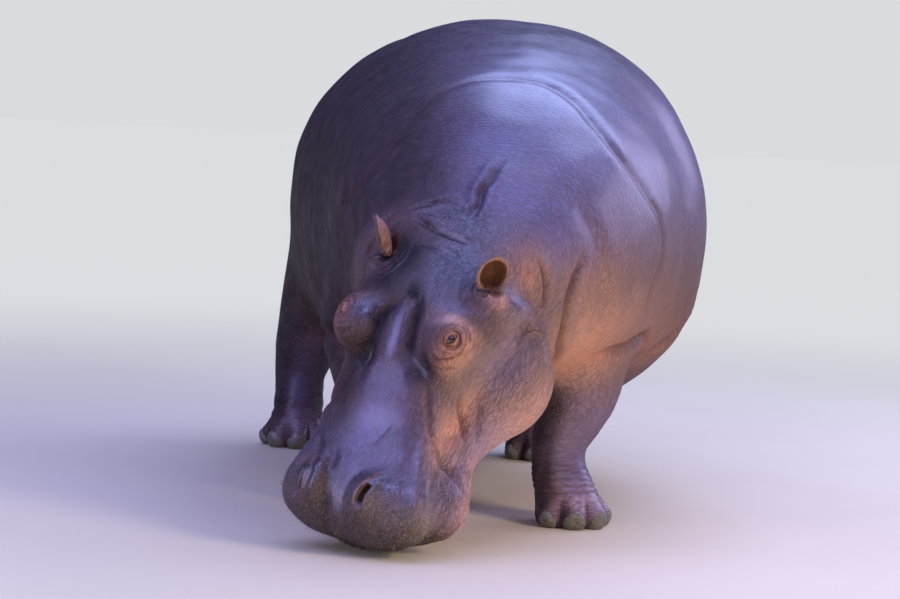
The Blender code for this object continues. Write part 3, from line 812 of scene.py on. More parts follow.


# where the skin is pink, violet with a painted sky sheen, wet or mottled, where shade is painted and the
# skin is darker (dark) and where highlights are painted (bright), noted on its points; a spot is given by
# its middle and radii in the head's frame, its amount, and whether the other side has it too
paintSpots = {
    "pink": (
        ((0.175, 0.000, 0.020), (0.048, 0.070, 0.060), 1.0, False),  # eye mound
        ((-0.190, 0.000, 0.020), (0.040, 0.070, 0.060), 1.0, False),
        ((0.200, 0.310, -0.110), (0.065, 0.085, 0.080), 0.50, True),  # behind the ear
        ((0.208, 0.182, -0.036), (0.030, 0.030, 0.030), 1.0, True),
        ((0.150, 0.070, 0.030), (0.040, 0.030, 0.030), 0.9, False),
        ((0.240, -0.020, -0.320), (0.090, 0.130, 0.070), 0.35, True),  # jowl
        ((0.172, -0.165, -0.180), (0.040, 0.100, 0.060), 0.70, True),  # behind the snout
        ((0.165, -0.205, -0.150), (0.030, 0.080, 0.060), 0.70, True),
        ((0.230, -0.300, -0.280), (0.060, 0.120, 0.050), 0.45, True),  # lower lip
        ((0.000, 0.050, -0.420), (0.280, 0.320, 0.120), 0.70, True),  # throat and chin
    ),
    "dark": (
        # painted shade in the hollows and over the right side of the face, with the darker skin between the
        # eyes
        ((-0.115, 0.185, -0.005), (0.105, 0.120, 0.080), 1.0, False),  # forehead, its right side
        ((-0.015, 0.125, 0.010), (0.035, 0.045, 0.050), 1.0, False),
        ((0.088, -0.070, -0.010), (0.038, 0.038, 0.050), 0.8, True),
        ((0.022, 0.060, 0.000), (0.022, 0.060, 0.040), 1.0, False),
        ((-0.072, 0.020, 0.000), (0.020, 0.060, 0.040), 1.0, False),
        ((-0.125, -0.180, -0.040), (0.055, 0.200, 0.120), 0.80, False),
        ((-0.180, 0.200, -0.050), (0.080, 0.100, 0.090), 0.8, False),
        ((-0.050, -0.440, -0.050), (0.030, 0.080, 0.060), 0.45, False),
        ((0.200, 0.095, -0.040), (0.060, 0.030, 0.060), 0.25, False),
        ((0.165, 0.255, -0.040), (0.030, 0.030, 0.030), 0.4, True),
    ),
    "violet": (
        # violet skin with a painted blue sky sheen, where the upward faces catch the sky
        ((0.060, 0.240, 0.000), (0.085, 0.110, 0.080), 1.0, False),  # forehead, its left side
        ((-0.013, 0.000, 0.010), (0.026, 0.110, 0.040), 1.0, False),  # ridge between the eyes
        ((0.010, -0.230, -0.060), (0.095, 0.160, 0.080), 1.0, False),  # bridge of the snout
        ((0.030, -0.110, -0.030), (0.060, 0.070, 0.060), 1.0, False),
        ((-0.110, 0.030, 0.040), (0.036, 0.055, 0.050), 1.0, False),
        ((0.100, 0.115, 0.000), (0.060, 0.030, 0.040), 0.9, False),
        ((0.225, 0.185, -0.100), (0.060, 0.035, 0.080), 0.9, True),  # cheek bone
        ((0.215, 0.050, -0.185), (0.060, 0.100, 0.090), 0.6, True),  # cheek
        ((-0.005, -0.130, -0.040), (0.085, 0.090, 0.060), 1.0, False),
        ((0.120, -0.390, -0.080), (0.090, 0.050, 0.060), 0.8, True),
        ((0.000, 0.450, -0.080), (0.250, 0.150, 0.120), 0.9, True),  # nape
    ),
    "bright": (
        # painted highlights
        ((0.128, 0.068, 0.027), (0.044, 0.026, 0.030), 1.0, False),  # top of the eye mound
        ((0.175, 0.060, 0.020), (0.030, 0.026, 0.030), 0.5, False),
        ((0.205, 0.182, -0.036), (0.024, 0.022, 0.024), 0.8, True),  # below the ear
        ((-0.150, -0.395, -0.085), (0.035, 0.035, 0.040), 0.4, False),
    ),
    "cushion": (  # wet, cut into small dark-edged cushions
        ((0.040, 0.240, 0.000), (0.110, 0.110, 0.080), 1.0, False),
        ((-0.110, 0.200, 0.000), (0.060, 0.080, 0.080), 0.8, False),
        ((0.090, -0.070, -0.010), (0.032, 0.032, 0.050), 1.0, True),
        ((-0.110, 0.030, 0.030), (0.034, 0.045, 0.050), 0.7, False),
        ((0.100, -0.400, -0.070), (0.090, 0.026, 0.060), 1.0, False),
        ((-0.125, -0.415, -0.050), (0.045, 0.035, 0.050), 1.0, False),
        ((0.000, 0.360, -0.040), (0.140, 0.060, 0.080), 0.8, False),
        ((0.190, -0.330, -0.170), (0.040, 0.060, 0.050), 0.5, False),
    ),
}
paintPlan = {
    # how far the edges of the spots waver
    "waver": {"pink": 0.03, "dark": 0.03, "violet": 0.03, "cushion": 0.03, "bright": 0.012},
    "neckPink": 0.25,
    "lowPink": 0.60,  # underneath
    "lidPink": 0.9,
    "earPink": (0.50, 0.55),  # left, right
    # violet skin with a painted blue sky sheen: on the body's upward faces and on the lower legs
    "upperVioletSheen": 0.9,
    "legViolet": 0.7,
    "backDark": 0.60,
    # painted shade on the body's right side
    "rightShade": 0.65,
    # painted highlight on the feet
    "footHighlight": 0.28,
}


def spotMask(at, spots):
    mask = np.zeros(len(at))
    for middle, radii, amount, both in spots:
        for side in (1, -1) if both else (1,):
            q = (at - mirrored(side, middle)) / radii
            mask = np.maximum(mask, amount * np.exp(-(q * q).sum(axis=1)))
    return mask


def earMasks(shape):  # on the ears, and in their cups
    onEar, inEar = np.zeros(len(shape["points"])), np.zeros(len(shape["points"]))
    for side in (1, -1):
        turn = np.array(earFrame(side).to_3x3())
        ear = (shape["points"] - np.array(earFrame(side).translation)) @ turn
        local = ear - (0, 0, earPlan["middle"])
        reach = np.linalg.norm(local / (1.2, 1.2, 1.55), axis=1)
        here = (1 - smoothStep(reach, 0.040, 0.048)) * (ear[:, 2] > 0.0)
        ratio = np.hypot(ear[:, 0] / earPlan["halfWidth"], local[:, 2] / earPlan["halfLength"])
        facing = shape["normals"] @ -turn[:, 1]
        onEar = np.maximum(onEar, here)
        inEar = np.maximum(inEar, (1 - smoothStep(ratio, 0.72, 0.90)) * smoothStep(facing, -0.2, 0.2) * here)
    return onEar, inEar


def writeLayer(mesh, name, values):  # a number or a vector for each point
    kind, field = ("FLOAT", "value") if values.ndim == 1 else ("FLOAT_VECTOR", "vector")
    layer = mesh.attributes.new(name, kind, "POINT")
    layer.data.foreach_set(field, values.astype(np.float32).ravel())


def paintSkin(shape):
    points, normals = shape["points"], shape["plain"]
    at = inHead(points)
    height, upward = points[:, 2], normals[:, 2]
    away = distanceTo(points, headMiddle)
    onHead = 1 - smoothStep(away, 0.44, 0.60)
    drift = noiseAt(points, 5.0, 9.0)
    waver = paintPlan["waver"]
    spots = {name: spotMask(at + waver[name] * drift, rows) for name, rows in paintSpots.items()}
    pink, dark, violet = spots["pink"], spots["dark"], spots["violet"]

    neck = smoothStep(-points[:, 1], 0.70, 0.95) * (1 - onHead) * smoothStep(-upward, -0.45, 0.30)
    low = smoothStep(-upward, 0.00, 0.80) * (1 - onHead) * smoothStep(height, 0.30, 0.50)
    pink = np.maximum(pink, np.maximum(paintPlan["neckPink"] * neck, paintPlan["lowPink"] * low))
    # painted shade on the surfaces that face the animal's right, which also take less of the violet sheen
    shadedSide = smoothStep(-normals[:, 0], 0.00, 0.55) * (1 - onHead)
    # violet skin with a painted blue sky sheen on the body's upward faces and the lower legs, less on the
    # shaded right side
    upper = smoothStep(upward, -0.25, 0.45)
    violet = np.maximum(violet, paintPlan["upperVioletSheen"] * upper * (1 - onHead) * (1 - 0.6 * shadedSide))
    violet = np.maximum(violet, paintPlan["legViolet"] * (1 - smoothStep(height, 0.28, 0.48)))
    # darker on top of the back, and painted shade on the right side
    back = smoothStep(upward, 0.55, 0.95) * smoothStep(points[:, 1], -0.55, 0.20)
    dark = np.maximum(dark, np.maximum(paintPlan["backDark"] * back, paintPlan["rightShade"] * shadedSide))
    # painted highlights: on the lower feet and at the bright spots
    footHighlight = paintPlan["footHighlight"] * (1 - smoothStep(height, 0.07, 0.17)) * (away > 0.60)
    bright = np.maximum(spots["bright"], footHighlight)

    onEar, inEar = earMasks(shape)
    earPink = np.where(points[:, 0] > headOrigin[0], *paintPlan["earPink"])
    pink = np.maximum(pink * (1 - onEar), onEar * earPink)
    pink = np.maximum(pink, paintPlan["lidPink"] * shape["lids"])
    dark = np.maximum(dark * (1 - onEar) * (1 - shape["lids"]), shape["dark"])
    pink = pink * (1 - 0.85 * dark)
    violet = violet * (1 - 0.8 * np.maximum(pink * (1 - 0.4 * violet), dark))
    leg = (1 - smoothStep(height, 0.20, 0.34)) * (1 - smoothStep(away, 0.70, 0.60))
    masks = {"pink": pink, "dark": dark, "violet": violet, "fold": shape["fold"], "rosy": shape["rosy"],
             "mottle": smoothStep(-at[:, 1], 0.36, 0.47) * onHead,
             "wet": upper * (0.6 + 0.4 * onHead) * (1 - 0.95 * dark),
             "leg": leg * (farFrom(points * (1, 1, 0), footMiddles) < 0.22),
             "cushion": spots["cushion"] * (1 - onEar), "bright": bright * (1 - onEar),
             "inEar": inEar, "onHead": onHead}
    for name, values in masks.items():
        writeLayer(shape["mesh"], name, np.clip(values, 0, 1))
    writeLayer(shape["mesh"], "headPlace", at)


# the parts that materials are put together from
def setInputs(tree, node, inputs):  # a socket's name or number, with a value or a socket to link
    for name, value in dict(inputs).items():
        if isinstance(value, bpy.types.NodeSocket):
            tree.links.new(value, node.inputs[name])
        else:
            node.inputs[name].default_value = value


def addNode(tree, kind, inputs=(), **settings):
    node = tree.nodes.new(kind)
    for name, value in settings.items():
        setattr(node, name, value)
    setInputs(tree, node, inputs)
    return node


def placeGroup(tree, group, **inputs):
    return addNode(tree, "ShaderNodeGroup", inputs, node_tree=group).outputs[0]


def calc(tree, operation, a, b, clamp=False):
    return addNode(tree, "ShaderNodeMath", {0: a, 1: b}, operation=operation, use_clamp=clamp).outputs[0]


def scaled(tree, value, gain, base, clamp=False):
    return calc(tree, "ADD", calc(tree, "MULTIPLY", value, gain), base, clamp)


def between(tree, value, low, high):  # rises softly from 0 to 1
    return addNode(tree, "ShaderNodeMapRange", {"Value": value, "From Min": low, "From Max": high},
                   interpolation_type="SMOOTHSTEP").outputs[0]


def mixColour(tree, amount, a, b):
    a, b = ((*colour, 1) if isinstance(colour, tuple) else colour for colour in (a, b))
    return addNode(tree, "ShaderNodeMix", {0: amount, 6: a, 7: b}, data_type="RGBA").outputs[2]


def mixValue(tree, amount, a, b):
    return addNode(tree, "ShaderNodeMix", {0: amount, 2: a, 3: b}, data_type="FLOAT").outputs[0]


def objectPlace(tree):
    return addNode(tree, "ShaderNodeTexCoord").outputs["Object"]


def readLayer(tree, name, output="Fac"):
    return addNode(tree, "ShaderNodeAttribute", attribute_name=name).outputs[output]


def addBump(tree, shader, height, strength, distance):
    bump = addNode(tree, "ShaderNodeBump", {"Height": height, "Strength": strength, "Distance": distance})
    setInputs(tree, shader, {"Normal": bump.outputs[0]})


def newGroup(name, vectors, values, outputs):  # the number inputs come with their usual values
    tree = bpy.data.node_groups.new(name, "ShaderNodeTree")
    for label in vectors:
        tree.interface.new_socket(label, in_out="INPUT", socket_type="NodeSocketVector")
    for label, value in values.items():
        socket = tree.interface.new_socket(label, in_out="INPUT", socket_type="NodeSocketFloat")
        socket.default_value = value
    for label in outputs:
        tree.interface.new_socket(label, in_out="OUTPUT", socket_type="NodeSocketFloat")
    return tree, tree.nodes.new("NodeGroupInput").outputs, tree.nodes.new("NodeGroupOutput")


def blotchGroup():  # soft patches of two sizes, from 0 to 1
    tree, given, out = newGroup("blotches", ["Vector"], {"Scale": 8.0, "Contrast": 2.5}, ["Mask"])
    cloudy = {"Vector": given["Vector"], "Scale": given["Scale"], "Detail": 5.0, "Roughness": 0.62,
              "Distortion": 0.6}
    centred = calc(tree, "SUBTRACT", addNode(tree, "ShaderNodeTexNoise", cloudy).outputs[0], 0.5)
    setInputs(tree, out, {"Mask": scaled(tree, centred, given["Contrast"], 0.5, True)})
    return tree


def crackleGroup():  # skin cut into small cushions by fine wrinkles; 1 on the cushions, 0 in the wrinkles
    tree, given, out = newGroup("crackle", ["Vector"], {"Scale": 80.0, "Warp": 0.012}, ["Height"])

    def vectorMath(operation, inputs):
        return addNode(tree, "ShaderNodeVectorMath", inputs, operation=operation).outputs[0]

    bend = addNode(tree, "ShaderNodeTexNoise", {"Vector": given["Vector"], "Scale": 30.0, "Detail": 3.0})
    centred = vectorMath("SUBTRACT", {0: bend.outputs["Color"], 1: (0.5, 0.5, 0.5)})
    bent = vectorMath("SCALE", {0: centred, "Scale": given["Warp"]})
    moved = vectorMath("ADD", {0: given["Vector"], 1: bent})
    cells = addNode(tree, "ShaderNodeTexVoronoi", {"Vector": moved, "Scale": given["Scale"]},
                    feature="DISTANCE_TO_EDGE")
    setInputs(tree, out, {"Height": between(tree, cells.outputs["Distance"], 0.0, 0.28)})
    return tree


def wrinkleGroup():  # fine net, larger wrinkles and streaks, stretched by what the vector is multiplied with
    scales = {"Net Scale": 185.0, "Wrinkle Scale": 75.0, "Streak Scale": 95.0}
    tree, given, out = newGroup("wrinkles", ["Vector", "Stretch"], scales, ["Net", "Wrinkle", "Streak"])
    stretched = {0: given["Vector"], 1: given["Stretch"]}
    place = addNode(tree, "ShaderNodeVectorMath", stretched, operation="MULTIPLY").outputs[0]
    setInputs(tree, out, {
        "Net": placeGroup(tree, crackle, Vector=place, Scale=given["Net Scale"], Warp=0.010),
        "Wrinkle": placeGroup(tree, crackle, Vector=place, Scale=given["Wrinkle Scale"], Warp=0.030),
        "Streak": placeGroup(tree, blotches, Vector=place, Scale=given["Streak Scale"], Contrast=3.0)})
    return tree


def newMaterial(name):
    material = bpy.data.materials.new(name)
    material.use_nodes = True
    return material, material.node_tree, material.node_tree.nodes["Principled BSDF"]


blotches = blotchGroup()
crackle = crackleGroup()
wrinkles = wrinkleGroup()

hidePlan = {
    "brown": (0.092, 0.058, 0.058),
    # violet skin with a painted blue sky sheen
    "violet": (0.088, 0.070, 0.170),
    "salmon": (0.370, 0.165, 0.112),
    # painted highlight
    "bright": (0.640, 0.390, 0.370),
    "rose": (0.165, 0.095, 0.095),
    # painted shade in hollows, creases and on the shaded side, and the darkest skin and specks
    "dark": (0.008, 0.004, 0.005),
    # painted shade in the folds
    "fold": (0.050, 0.016, 0.016),
    "speck": (0.080, 0.056, 0.032),  # mottling of the muzzle
    "pale": (0.300, 0.230, 0.180),
    # the ear's dark inside, partly painted shade of the cup
    "inEar": (0.052, 0.018, 0.008),
    "patches": {"broad": (4.0, 3.0), "medium": (18.0, 3.2), "fine": (75.0, 3.2)},  # scale and contrast
    "layers": (  # mask, colour, the patches that break it up, their share, and the share that is even
        ("violet", "violet", "broad", 0.40, 0.60),
        ("pink", "salmon", "medium", 0.45, 0.60),
        ("bright", "bright", "fine", 0.40, 0.50),
        ("dark", "dark", "medium", 0.50, 0.75),
    ),
    "scales": {"Net Scale": 185.0, "Wrinkle Scale": 75.0, "Streak Scale": 95.0},
    "cushionScale": 85.0,
    "stretch": {"head": (1.0, 0.36, 1.0), "body": (0.45, 1.25, 0.45), "leg": (0.30, 0.30, 1.1)},
    "shade": {"net": 0.16, "wrinkle": 0.20, "streak": 0.25, "gap": 1.6},  # how dark the relief is
    "relief": {"net": 0.55, "wrinkle": 1.0, "streak": 0.55, "pore": 0.30, "fine": 0.5, "gap": 3.2},
    "poreScale": 330.0,
    "bump": 0.85,
    "bumpHeight": 0.0024,
    "roughness": 0.60,
    "wetSmooth": 0.24,
    "coatRoughness": 0.26,
    "specular": 0.18,
}


def hideMaterial():
    material, tree, shader = newMaterial("hide")
    place, headPlace = objectPlace(tree), readLayer(tree, "headPlace", "Vector")
    shade, relief = hidePlan["shade"], hidePlan["relief"]

    def mask(name):
        return readLayer(tree, name)

    def patches(scale, contrast):
        return placeGroup(tree, blotches, Vector=place, Scale=scale, Contrast=contrast)

    def times(a, b, clamp=False):
        return calc(tree, "MULTIPLY", a, b, clamp)

    def plus(a, b, clamp=False):
        return calc(tree, "ADD", a, b, clamp)

    def without(value):
        return calc(tree, "SUBTRACT", 1.0, value)

    patchy = {name: patches(*sizes) for name, sizes in hidePlan["patches"].items()}
    broad, medium, fine = patchy["broad"], patchy["medium"], patchy["fine"]
    grain = []
    for zone, vector, share in (("body", place, None), ("leg", place, "leg"), ("head", headPlace, "onHead")):
        inputs = {"Vector": vector, "Stretch": hidePlan["stretch"][zone], **hidePlan["scales"]}
        node = addNode(tree, "ShaderNodeGroup", inputs, node_tree=wrinkles)
        if share:
            amount = mask(share)
            grain = [mixValue(tree, amount, before, after) for before, after in zip(grain, node.outputs)]
        else:
            grain = list(node.outputs)
    net, wrinkle, streaks = grain
    cushions = placeGroup(tree, crackle, Vector=headPlace, Scale=hidePlan["cushionScale"], Warp=0.050)
    gaps = times(times(without(cushions), plus(times(fine, 0.9), times(medium, 0.4))), mask("cushion"))

    colour = mixColour(tree, broad, hidePlan["brown"], hidePlan["rose"])
    colour = mixColour(tree, 0.55, colour, hidePlan["brown"])
    # layers of violet with a painted sky sheen, pink, painted highlights, and painted shade with darker skin
    for name, paint, patch, broken, even in hidePlan["layers"]:
        amount = times(mask(name), scaled(tree, patchy[patch], broken, even), True)
        colour = mixColour(tree, amount, colour, hidePlan[paint])
    specks = times(mask("violet"), times(mask("onHead"), times(fine, medium)))
    creased = plus(times(without(net), shade["net"]), times(without(wrinkle), shade["wrinkle"]))
    streaked = times(calc(tree, "SUBTRACT", streaks, 0.5), shade["streak"])
    # the specks, the nostrils' pink and the muzzle's mottles are the skin's own; folds, nostril pits,
    # cushion gaps and wrinkles get painted shade, and the ear's cup its dark inside with painted shade
    for amount, paint in ((times(specks, 0.85), "dark"),
                          (times(mask("fold"), 0.85), "fold"),
                          (times(mask("rosy"), 0.85), "salmon"),
                          (times(mask("dark"), times(mask("rosy"), 0.98)), "dark"),
                          (times(mask("mottle"), scaled(tree, fine, 0.45, 0.40)), "speck"),
                          (times(mask("mottle"), times(patches(190.0, 9.0), 0.30)), "pale"),
                          (mask("inEar"), "inEar"),
                          (times(gaps, shade["gap"], True), "dark"),
                          (plus(creased, streaked, True), "dark")):
        colour = mixColour(tree, amount, colour, hidePlan[paint])

    wetViolet = times(mask("violet"), hidePlan["wetSmooth"])
    rough = calc(tree, "SUBTRACT", hidePlan["roughness"], times(mask("wet"), wetViolet))
    rough = plus(rough, plus(times(medium, 0.12), times(mask("inEar"), 0.3)), True)
    shine = times(mask("wet"), plus(times(mask("violet"), 0.9), times(broad, 0.12)))
    shine = plus(shine, times(mask("cushion"), 0.5))
    setInputs(tree, shader, {"Base Color": colour, "Roughness": rough,
                             "Coat Weight": times(shine, without(mask("inEar")), True),
                             "Coat Roughness": hidePlan["coatRoughness"],
                             "Specular IOR Level": hidePlan["specular"]})
    porous = {"Vector": place, "Scale": hidePlan["poreScale"], "Detail": 4.0}
    pores = addNode(tree, "ShaderNodeTexNoise", porous).outputs[0]
    height = plus(times(net, relief["net"]), times(wrinkle, relief["wrinkle"]))
    height = plus(height, plus(times(streaks, relief["streak"]), times(pores, relief["pore"])))
    height = plus(height, times(fine, times(mask("violet"), relief["fine"])))
    height = calc(tree, "SUBTRACT", height, times(gaps, relief["gap"]))
    addBump(tree, shader, height, hidePlan["bump"], hidePlan["bumpHeight"])
    return material


eyeLook = {
    "white": (0.150, 0.070, 0.050),
    "iris": (0.060, 0.022, 0.010),
    "irisEdge": (0.016, 0.006, 0.005),
    "pupil": (0.002, 0.002, 0.003),
    "irisReach": 0.0098,
    "pupilReach": 0.0052,
    "cornea": 0.0011,  # how far it stands out
    "speckScale": 420.0,
    "coatRoughness": 0.03,
}


def eyeMaterial():
    material, tree, shader = newMaterial("eye")
    reach = readLayer(tree, "reach")
    specks = placeGroup(tree, blotches, Vector=objectPlace(tree), Scale=eyeLook["speckScale"], Contrast=2.5)

    def edge(at, soft):
        return between(tree, reach, at - soft, at + soft)

    colour = mixColour(tree, specks, eyeLook["iris"], eyeLook["irisEdge"])
    colour = mixColour(tree, edge(eyeLook["irisReach"] * 0.9, 0.0008), colour, eyeLook["irisEdge"])
    colour = mixColour(tree, edge(eyeLook["irisReach"], 0.0006), colour, eyeLook["white"])
    colour = mixColour(tree, edge(eyeLook["pupilReach"], 0.0003), eyeLook["pupil"], colour)
    setInputs(tree, shader, {"Base Color": colour, "Roughness": scaled(tree, specks, 0.1, 0.15),
                             "Coat Weight": 1.0, "Coat Roughness": eyeLook["coatRoughness"]})
    return material


nailLook = {
    "horn": (0.200, 0.200, 0.165),
    "dark": (0.055, 0.052, 0.045),
    "mud": (0.110, 0.075, 0.050),
    "mudScale": 60.0,
    "bump": 0.5,
    "bumpHeight": 0.0010,
}


def nailMaterial():
    material, tree, shader = newMaterial("nail")
    across = {"Vector": readLayer(tree, "across", "Vector"), "Scale": 1.0, "Detail": 4.0, "Distortion": 0.4}
    bands = addNode(tree, "ShaderNodeTexNoise", across).outputs[0]
    spread = scaled(tree, calc(tree, "SUBTRACT", bands, 0.5), 3.0, 0.45, True)
    patchy = placeGroup(tree, blotches, Vector=objectPlace(tree), Scale=nailLook["mudScale"], Contrast=3.0)
    colour = mixColour(tree, spread, nailLook["dark"], nailLook["horn"])
    colour = mixColour(tree, calc(tree, "MULTIPLY", patchy, 0.5), colour, nailLook["mud"])
    setInputs(tree, shader, {"Base Color": colour, "Roughness": scaled(tree, patchy, 0.2, 0.38)})
    height = calc(tree, "ADD", bands, calc(tree, "MULTIPLY", patchy, 0.3))
    addBump(tree, shader, height, nailLook["bump"], nailLook["bumpHeight"])
    return material


def addPiece(name, mesh, slot, material, *nodes):
    piece = addObject(name, mesh)
    mesh.shade_smooth()
    mesh.materials.clear()
    mesh.materials.append(material)
    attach(piece, "root")
    if nodes:
        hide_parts(*nodes)


skinMesh = wholeSkin()
print("skin", sum(len(face.vertices) - 2 for face in skinMesh.polygons), "triangles")
shape = startShape(skinMesh)
shapeSkin(shape)
print("folds, eyes, nostrils and feet shaped")
paintSkin(shape)
addPiece("skin", skinMesh, "hide", hideMaterial(), *fleshNodes, "tail", "ear_left", "ear_right")
print("skin painted")


# the eyeballs, each with the reach from the middle of its front for the iris
def makeEye(side):
    middle, radius = eyeSphere(side)
    along, up, gaze = eyeAxes(side)
    bm = bmesh.new()
    bmesh.ops.create_uvsphere(bm, u_segments=48, v_segments=32, radius=radius - eyePlan["gap"])
    mesh = meshFrom(bm, "eye")
    points = meshPoints(mesh)
    reach = np.hypot(points[:, 0], points[:, 1])
    front = points[:, 2] > 0
    points[:, 2] += eyeLook["cornea"] * np.exp(-((reach / 0.0075) ** 4)) * front
    turn = np.column_stack([along, np.cross(gaze, along), gaze])
    setPoints(mesh, points @ turn.T + middle)
    writeLayer(mesh, "reach", np.where(front, reach, radius))
    return mesh


eyeLooks = eyeMaterial()
for side, name in ((1, "eye_left"), (-1, "eye_right")):
    addPiece(name + "_fine", makeEye(side), "eye", eyeLooks, name)
print("eyes made")


# the nails, cut off level with the CAD nails
def nailName(foot, angle):
    return f"nail_{foot}_{footPlan['toeAngles'].index(angle) + 1}"


def makeNail(foot, angle):
    wide, thick, high = nailSize(angle)
    toNail = nailFrame(foot, angle)
    bm = bmesh.new()
    bmesh.ops.create_uvsphere(bm, u_segments=36, v_segments=24, radius=1)
    for vertex in bm.verts:
        x, y, z = vertex.co
        ridges = 0.0004 * math.sin(19 * x + 3 * math.sin(4 * z)) * (y < 0) * (1 - math.hypot(x, z) ** 6)
        square = 1 + 0.05 * math.sin(2 * math.atan2(z, x)) ** 2
        across = x * wide * square * 0.985 * float(nailTaper(z))
        vertex.co = (across, y * thick - ridges, z * high * square * 0.985)
    bmesh.ops.transform(bm, matrix=toNail, verts=bm.verts)
    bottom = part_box(nailName(foot, angle))[0][2]
    cut = bmesh.ops.bisect_plane(bm, geom=bm.verts[:] + bm.edges[:] + bm.faces[:], plane_co=(0, 0, bottom),
                                 plane_no=(0, 0, 1), clear_inner=True)
    rimEdges = [part for part in cut["geom_cut"] if isinstance(part, bmesh.types.BMEdge)]
    bmesh.ops.edgeloop_fill(bm, edges=rimEdges)
    bmesh.ops.recalc_face_normals(bm, faces=bm.faces)
    mesh = meshFrom(bm, "nail")
    at = (meshPoints(mesh) - np.array(toNail.translation)) @ np.array(toNail.to_3x3())
    # the place that the bands are drawn by, moved on from foot to foot
    writeLayer(mesh, "across", at * (70, 10, 260) + 10 * footPlan["place"][foot][0])
    return mesh


nailLooks = nailMaterial()
for foot in feet:
    for angle in footPlan["toeAngles"]:
        name = nailName(foot, angle)
        addPiece(name + "_fine", makeNail(foot, angle), "nail", nailLooks, name)
print("nails made")

# the bristles of the muzzle, the ears and the tail
bristlePlan = {
    "muzzle": {"count": 900, "length": (0.007, 0.017), "thick": 0.00050, "lean": (0, -0.35, -0.55)},
    "ear": {"count": 170, "length": (0.007, 0.014), "thick": 0.00035},
    "tail": {"count": 260, "length": (0.020, 0.048), "thick": 0.00070},
    "root": (0.120, 0.080, 0.065),
    "tip": (0.420, 0.330, 0.270),
    "clearance": 0.002,  # above the floor
    "patch": 0.003,  # of the UV map for each bristle, at its root's place
    "seed": 7,
}
skinTree = surfaceTree(skinMesh, shape["points"])


def onSurface(point, reach):
    hit = skinTree.find_nearest(Vector(point), reach)
    return (None, None) if hit[0] is None else (np.array(hit[0]), np.array(hit[1]))


def bristleMaterial():
    material, tree, shader = newMaterial("bristle")
    varied = placeGroup(tree, blotches, Vector=objectPlace(tree), Scale=150.0, Contrast=3.0)
    share = calc(tree, "MULTIPLY", readLayer(tree, "along"), scaled(tree, varied, 0.6, 0.4), True)
    setInputs(tree, shader, {"Base Color": mixColour(tree, share, bristlePlan["root"], bristlePlan["tip"]),
                             "Roughness": scaled(tree, varied, 0.2, 0.4)})
    return material


def muzzleRoots(rng):  # on the front of both lips, thinner towards the cheeks
    roots = []
    while len(roots) < bristlePlan["muzzle"]["count"]:
        x, y, z = rng.uniform((-0.27, -0.60, -0.36), (0.27, -0.26, -0.02))
        place, normal = onSurface(fromHead((x, y, z)), 0.06)
        if place is None:
            continue
        at = inHead(place)
        if rng.uniform() < smoothStep(-at[1], 0.28, 0.50) and at[2] < -0.045:
            unwrapped = (0.5 + math.atan2(at[0], -at[2]) / (2 * math.pi), 0.35 - at[1])
            roots.append((place, normal, fromHead(bristlePlan["muzzle"]["lean"]) - headOrigin, unwrapped))
    return roots


def earRoots(rng):
    roots = []
    for number in range(2 * bristlePlan["ear"]["count"]):
        side = 1 if number % 2 else -1
        turn = rng.uniform(-0.25 * math.pi, 1.25 * math.pi)
        out = Vector((math.cos(turn), 0, math.sin(turn)))
        up = out.z * earPlan["halfLength"] + earPlan["middle"]
        at = Vector((out.x * earPlan["halfWidth"], -0.004, up))
        place, normal = onSurface(np.array(earFrame(side) @ at), 0.02)
        if place is not None:
            way = np.array(earFrame(side).to_3x3() @ Vector((out.x, -0.5, out.z + 0.3)))
            roots.append((place, way, 0.2 * normal, (0.25 + 0.5 * (side > 0), 0.1 * turn + 0.4)))
    return roots


def tailRoots(rng):
    low, high = (np.array(corner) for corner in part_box("tail"))
    tall = high[2] - low[2]
    roots = []
    while len(roots) < bristlePlan["tail"]["count"]:
        start = rng.uniform(low - 0.01, high + 0.01)
        start[2] = low[2] + tall * 0.34 * rng.uniform() ** 1.5
        place, normal = onSurface(start, 0.03)
        if place is not None and abs(place[1] - high[1]) < 0.08 and place[2] < low[2] + 0.36 * tall:
            edge = 0.35 + 0.65 * abs(normal[1])
            if rng.uniform() < edge:
                turn = math.atan2(normal[1], normal[0]) * 0.95 / (2 * math.pi) + 0.5
                unwrapped = (turn, place[2] - low[2] + 0.01)
                roots.append((place, normal * 0.55, np.array((0, 0.10, -0.9)), unwrapped))
    return roots


def growBristles(name, roots, plan, rng, material):
    bm = bmesh.new()
    alongLayer = bm.verts.layers.float.new("along")
    bakeLayer = bm.loops.layers.uv.new("OFBake")
    for place, normal, lean, unwrapped in roots:
        way = Vector(normal + lean + 0.22 * rng.normal(size=3)).normalized()
        length = rng.uniform(*plan["length"])
        if place[2] + way.z * length < bristlePlan["clearance"]:
            continue
        turn = way.to_track_quat("Z", "Y").to_matrix()
        matrix = Matrix.Translation(Vector(place) + way * (length / 2 - 0.001)) @ turn.to_4x4()
        made = bmesh.ops.create_cone(bm, cap_ends=True, segments=4, radius1=plan["thick"],
                                     radius2=plan["thick"] * 0.15, depth=length, matrix=matrix)["verts"]
        for vertex in made:
            local = turn.transposed() @ (vertex.co - Vector(place))
            height = local.z / length
            vertex[alongLayer] = min(max(height, 0), 1)
            around = local.xy.normalized() * 0.4
            u = unwrapped[0] + bristlePlan["patch"] * (height - 0.5 + 0.2 * around.y)
            for loop in vertex.link_loops:
                loop[bakeLayer].uv = (u, unwrapped[1] + bristlePlan["patch"] * around.x)
    addPiece(name, meshFrom(bm, name), "hide", material)


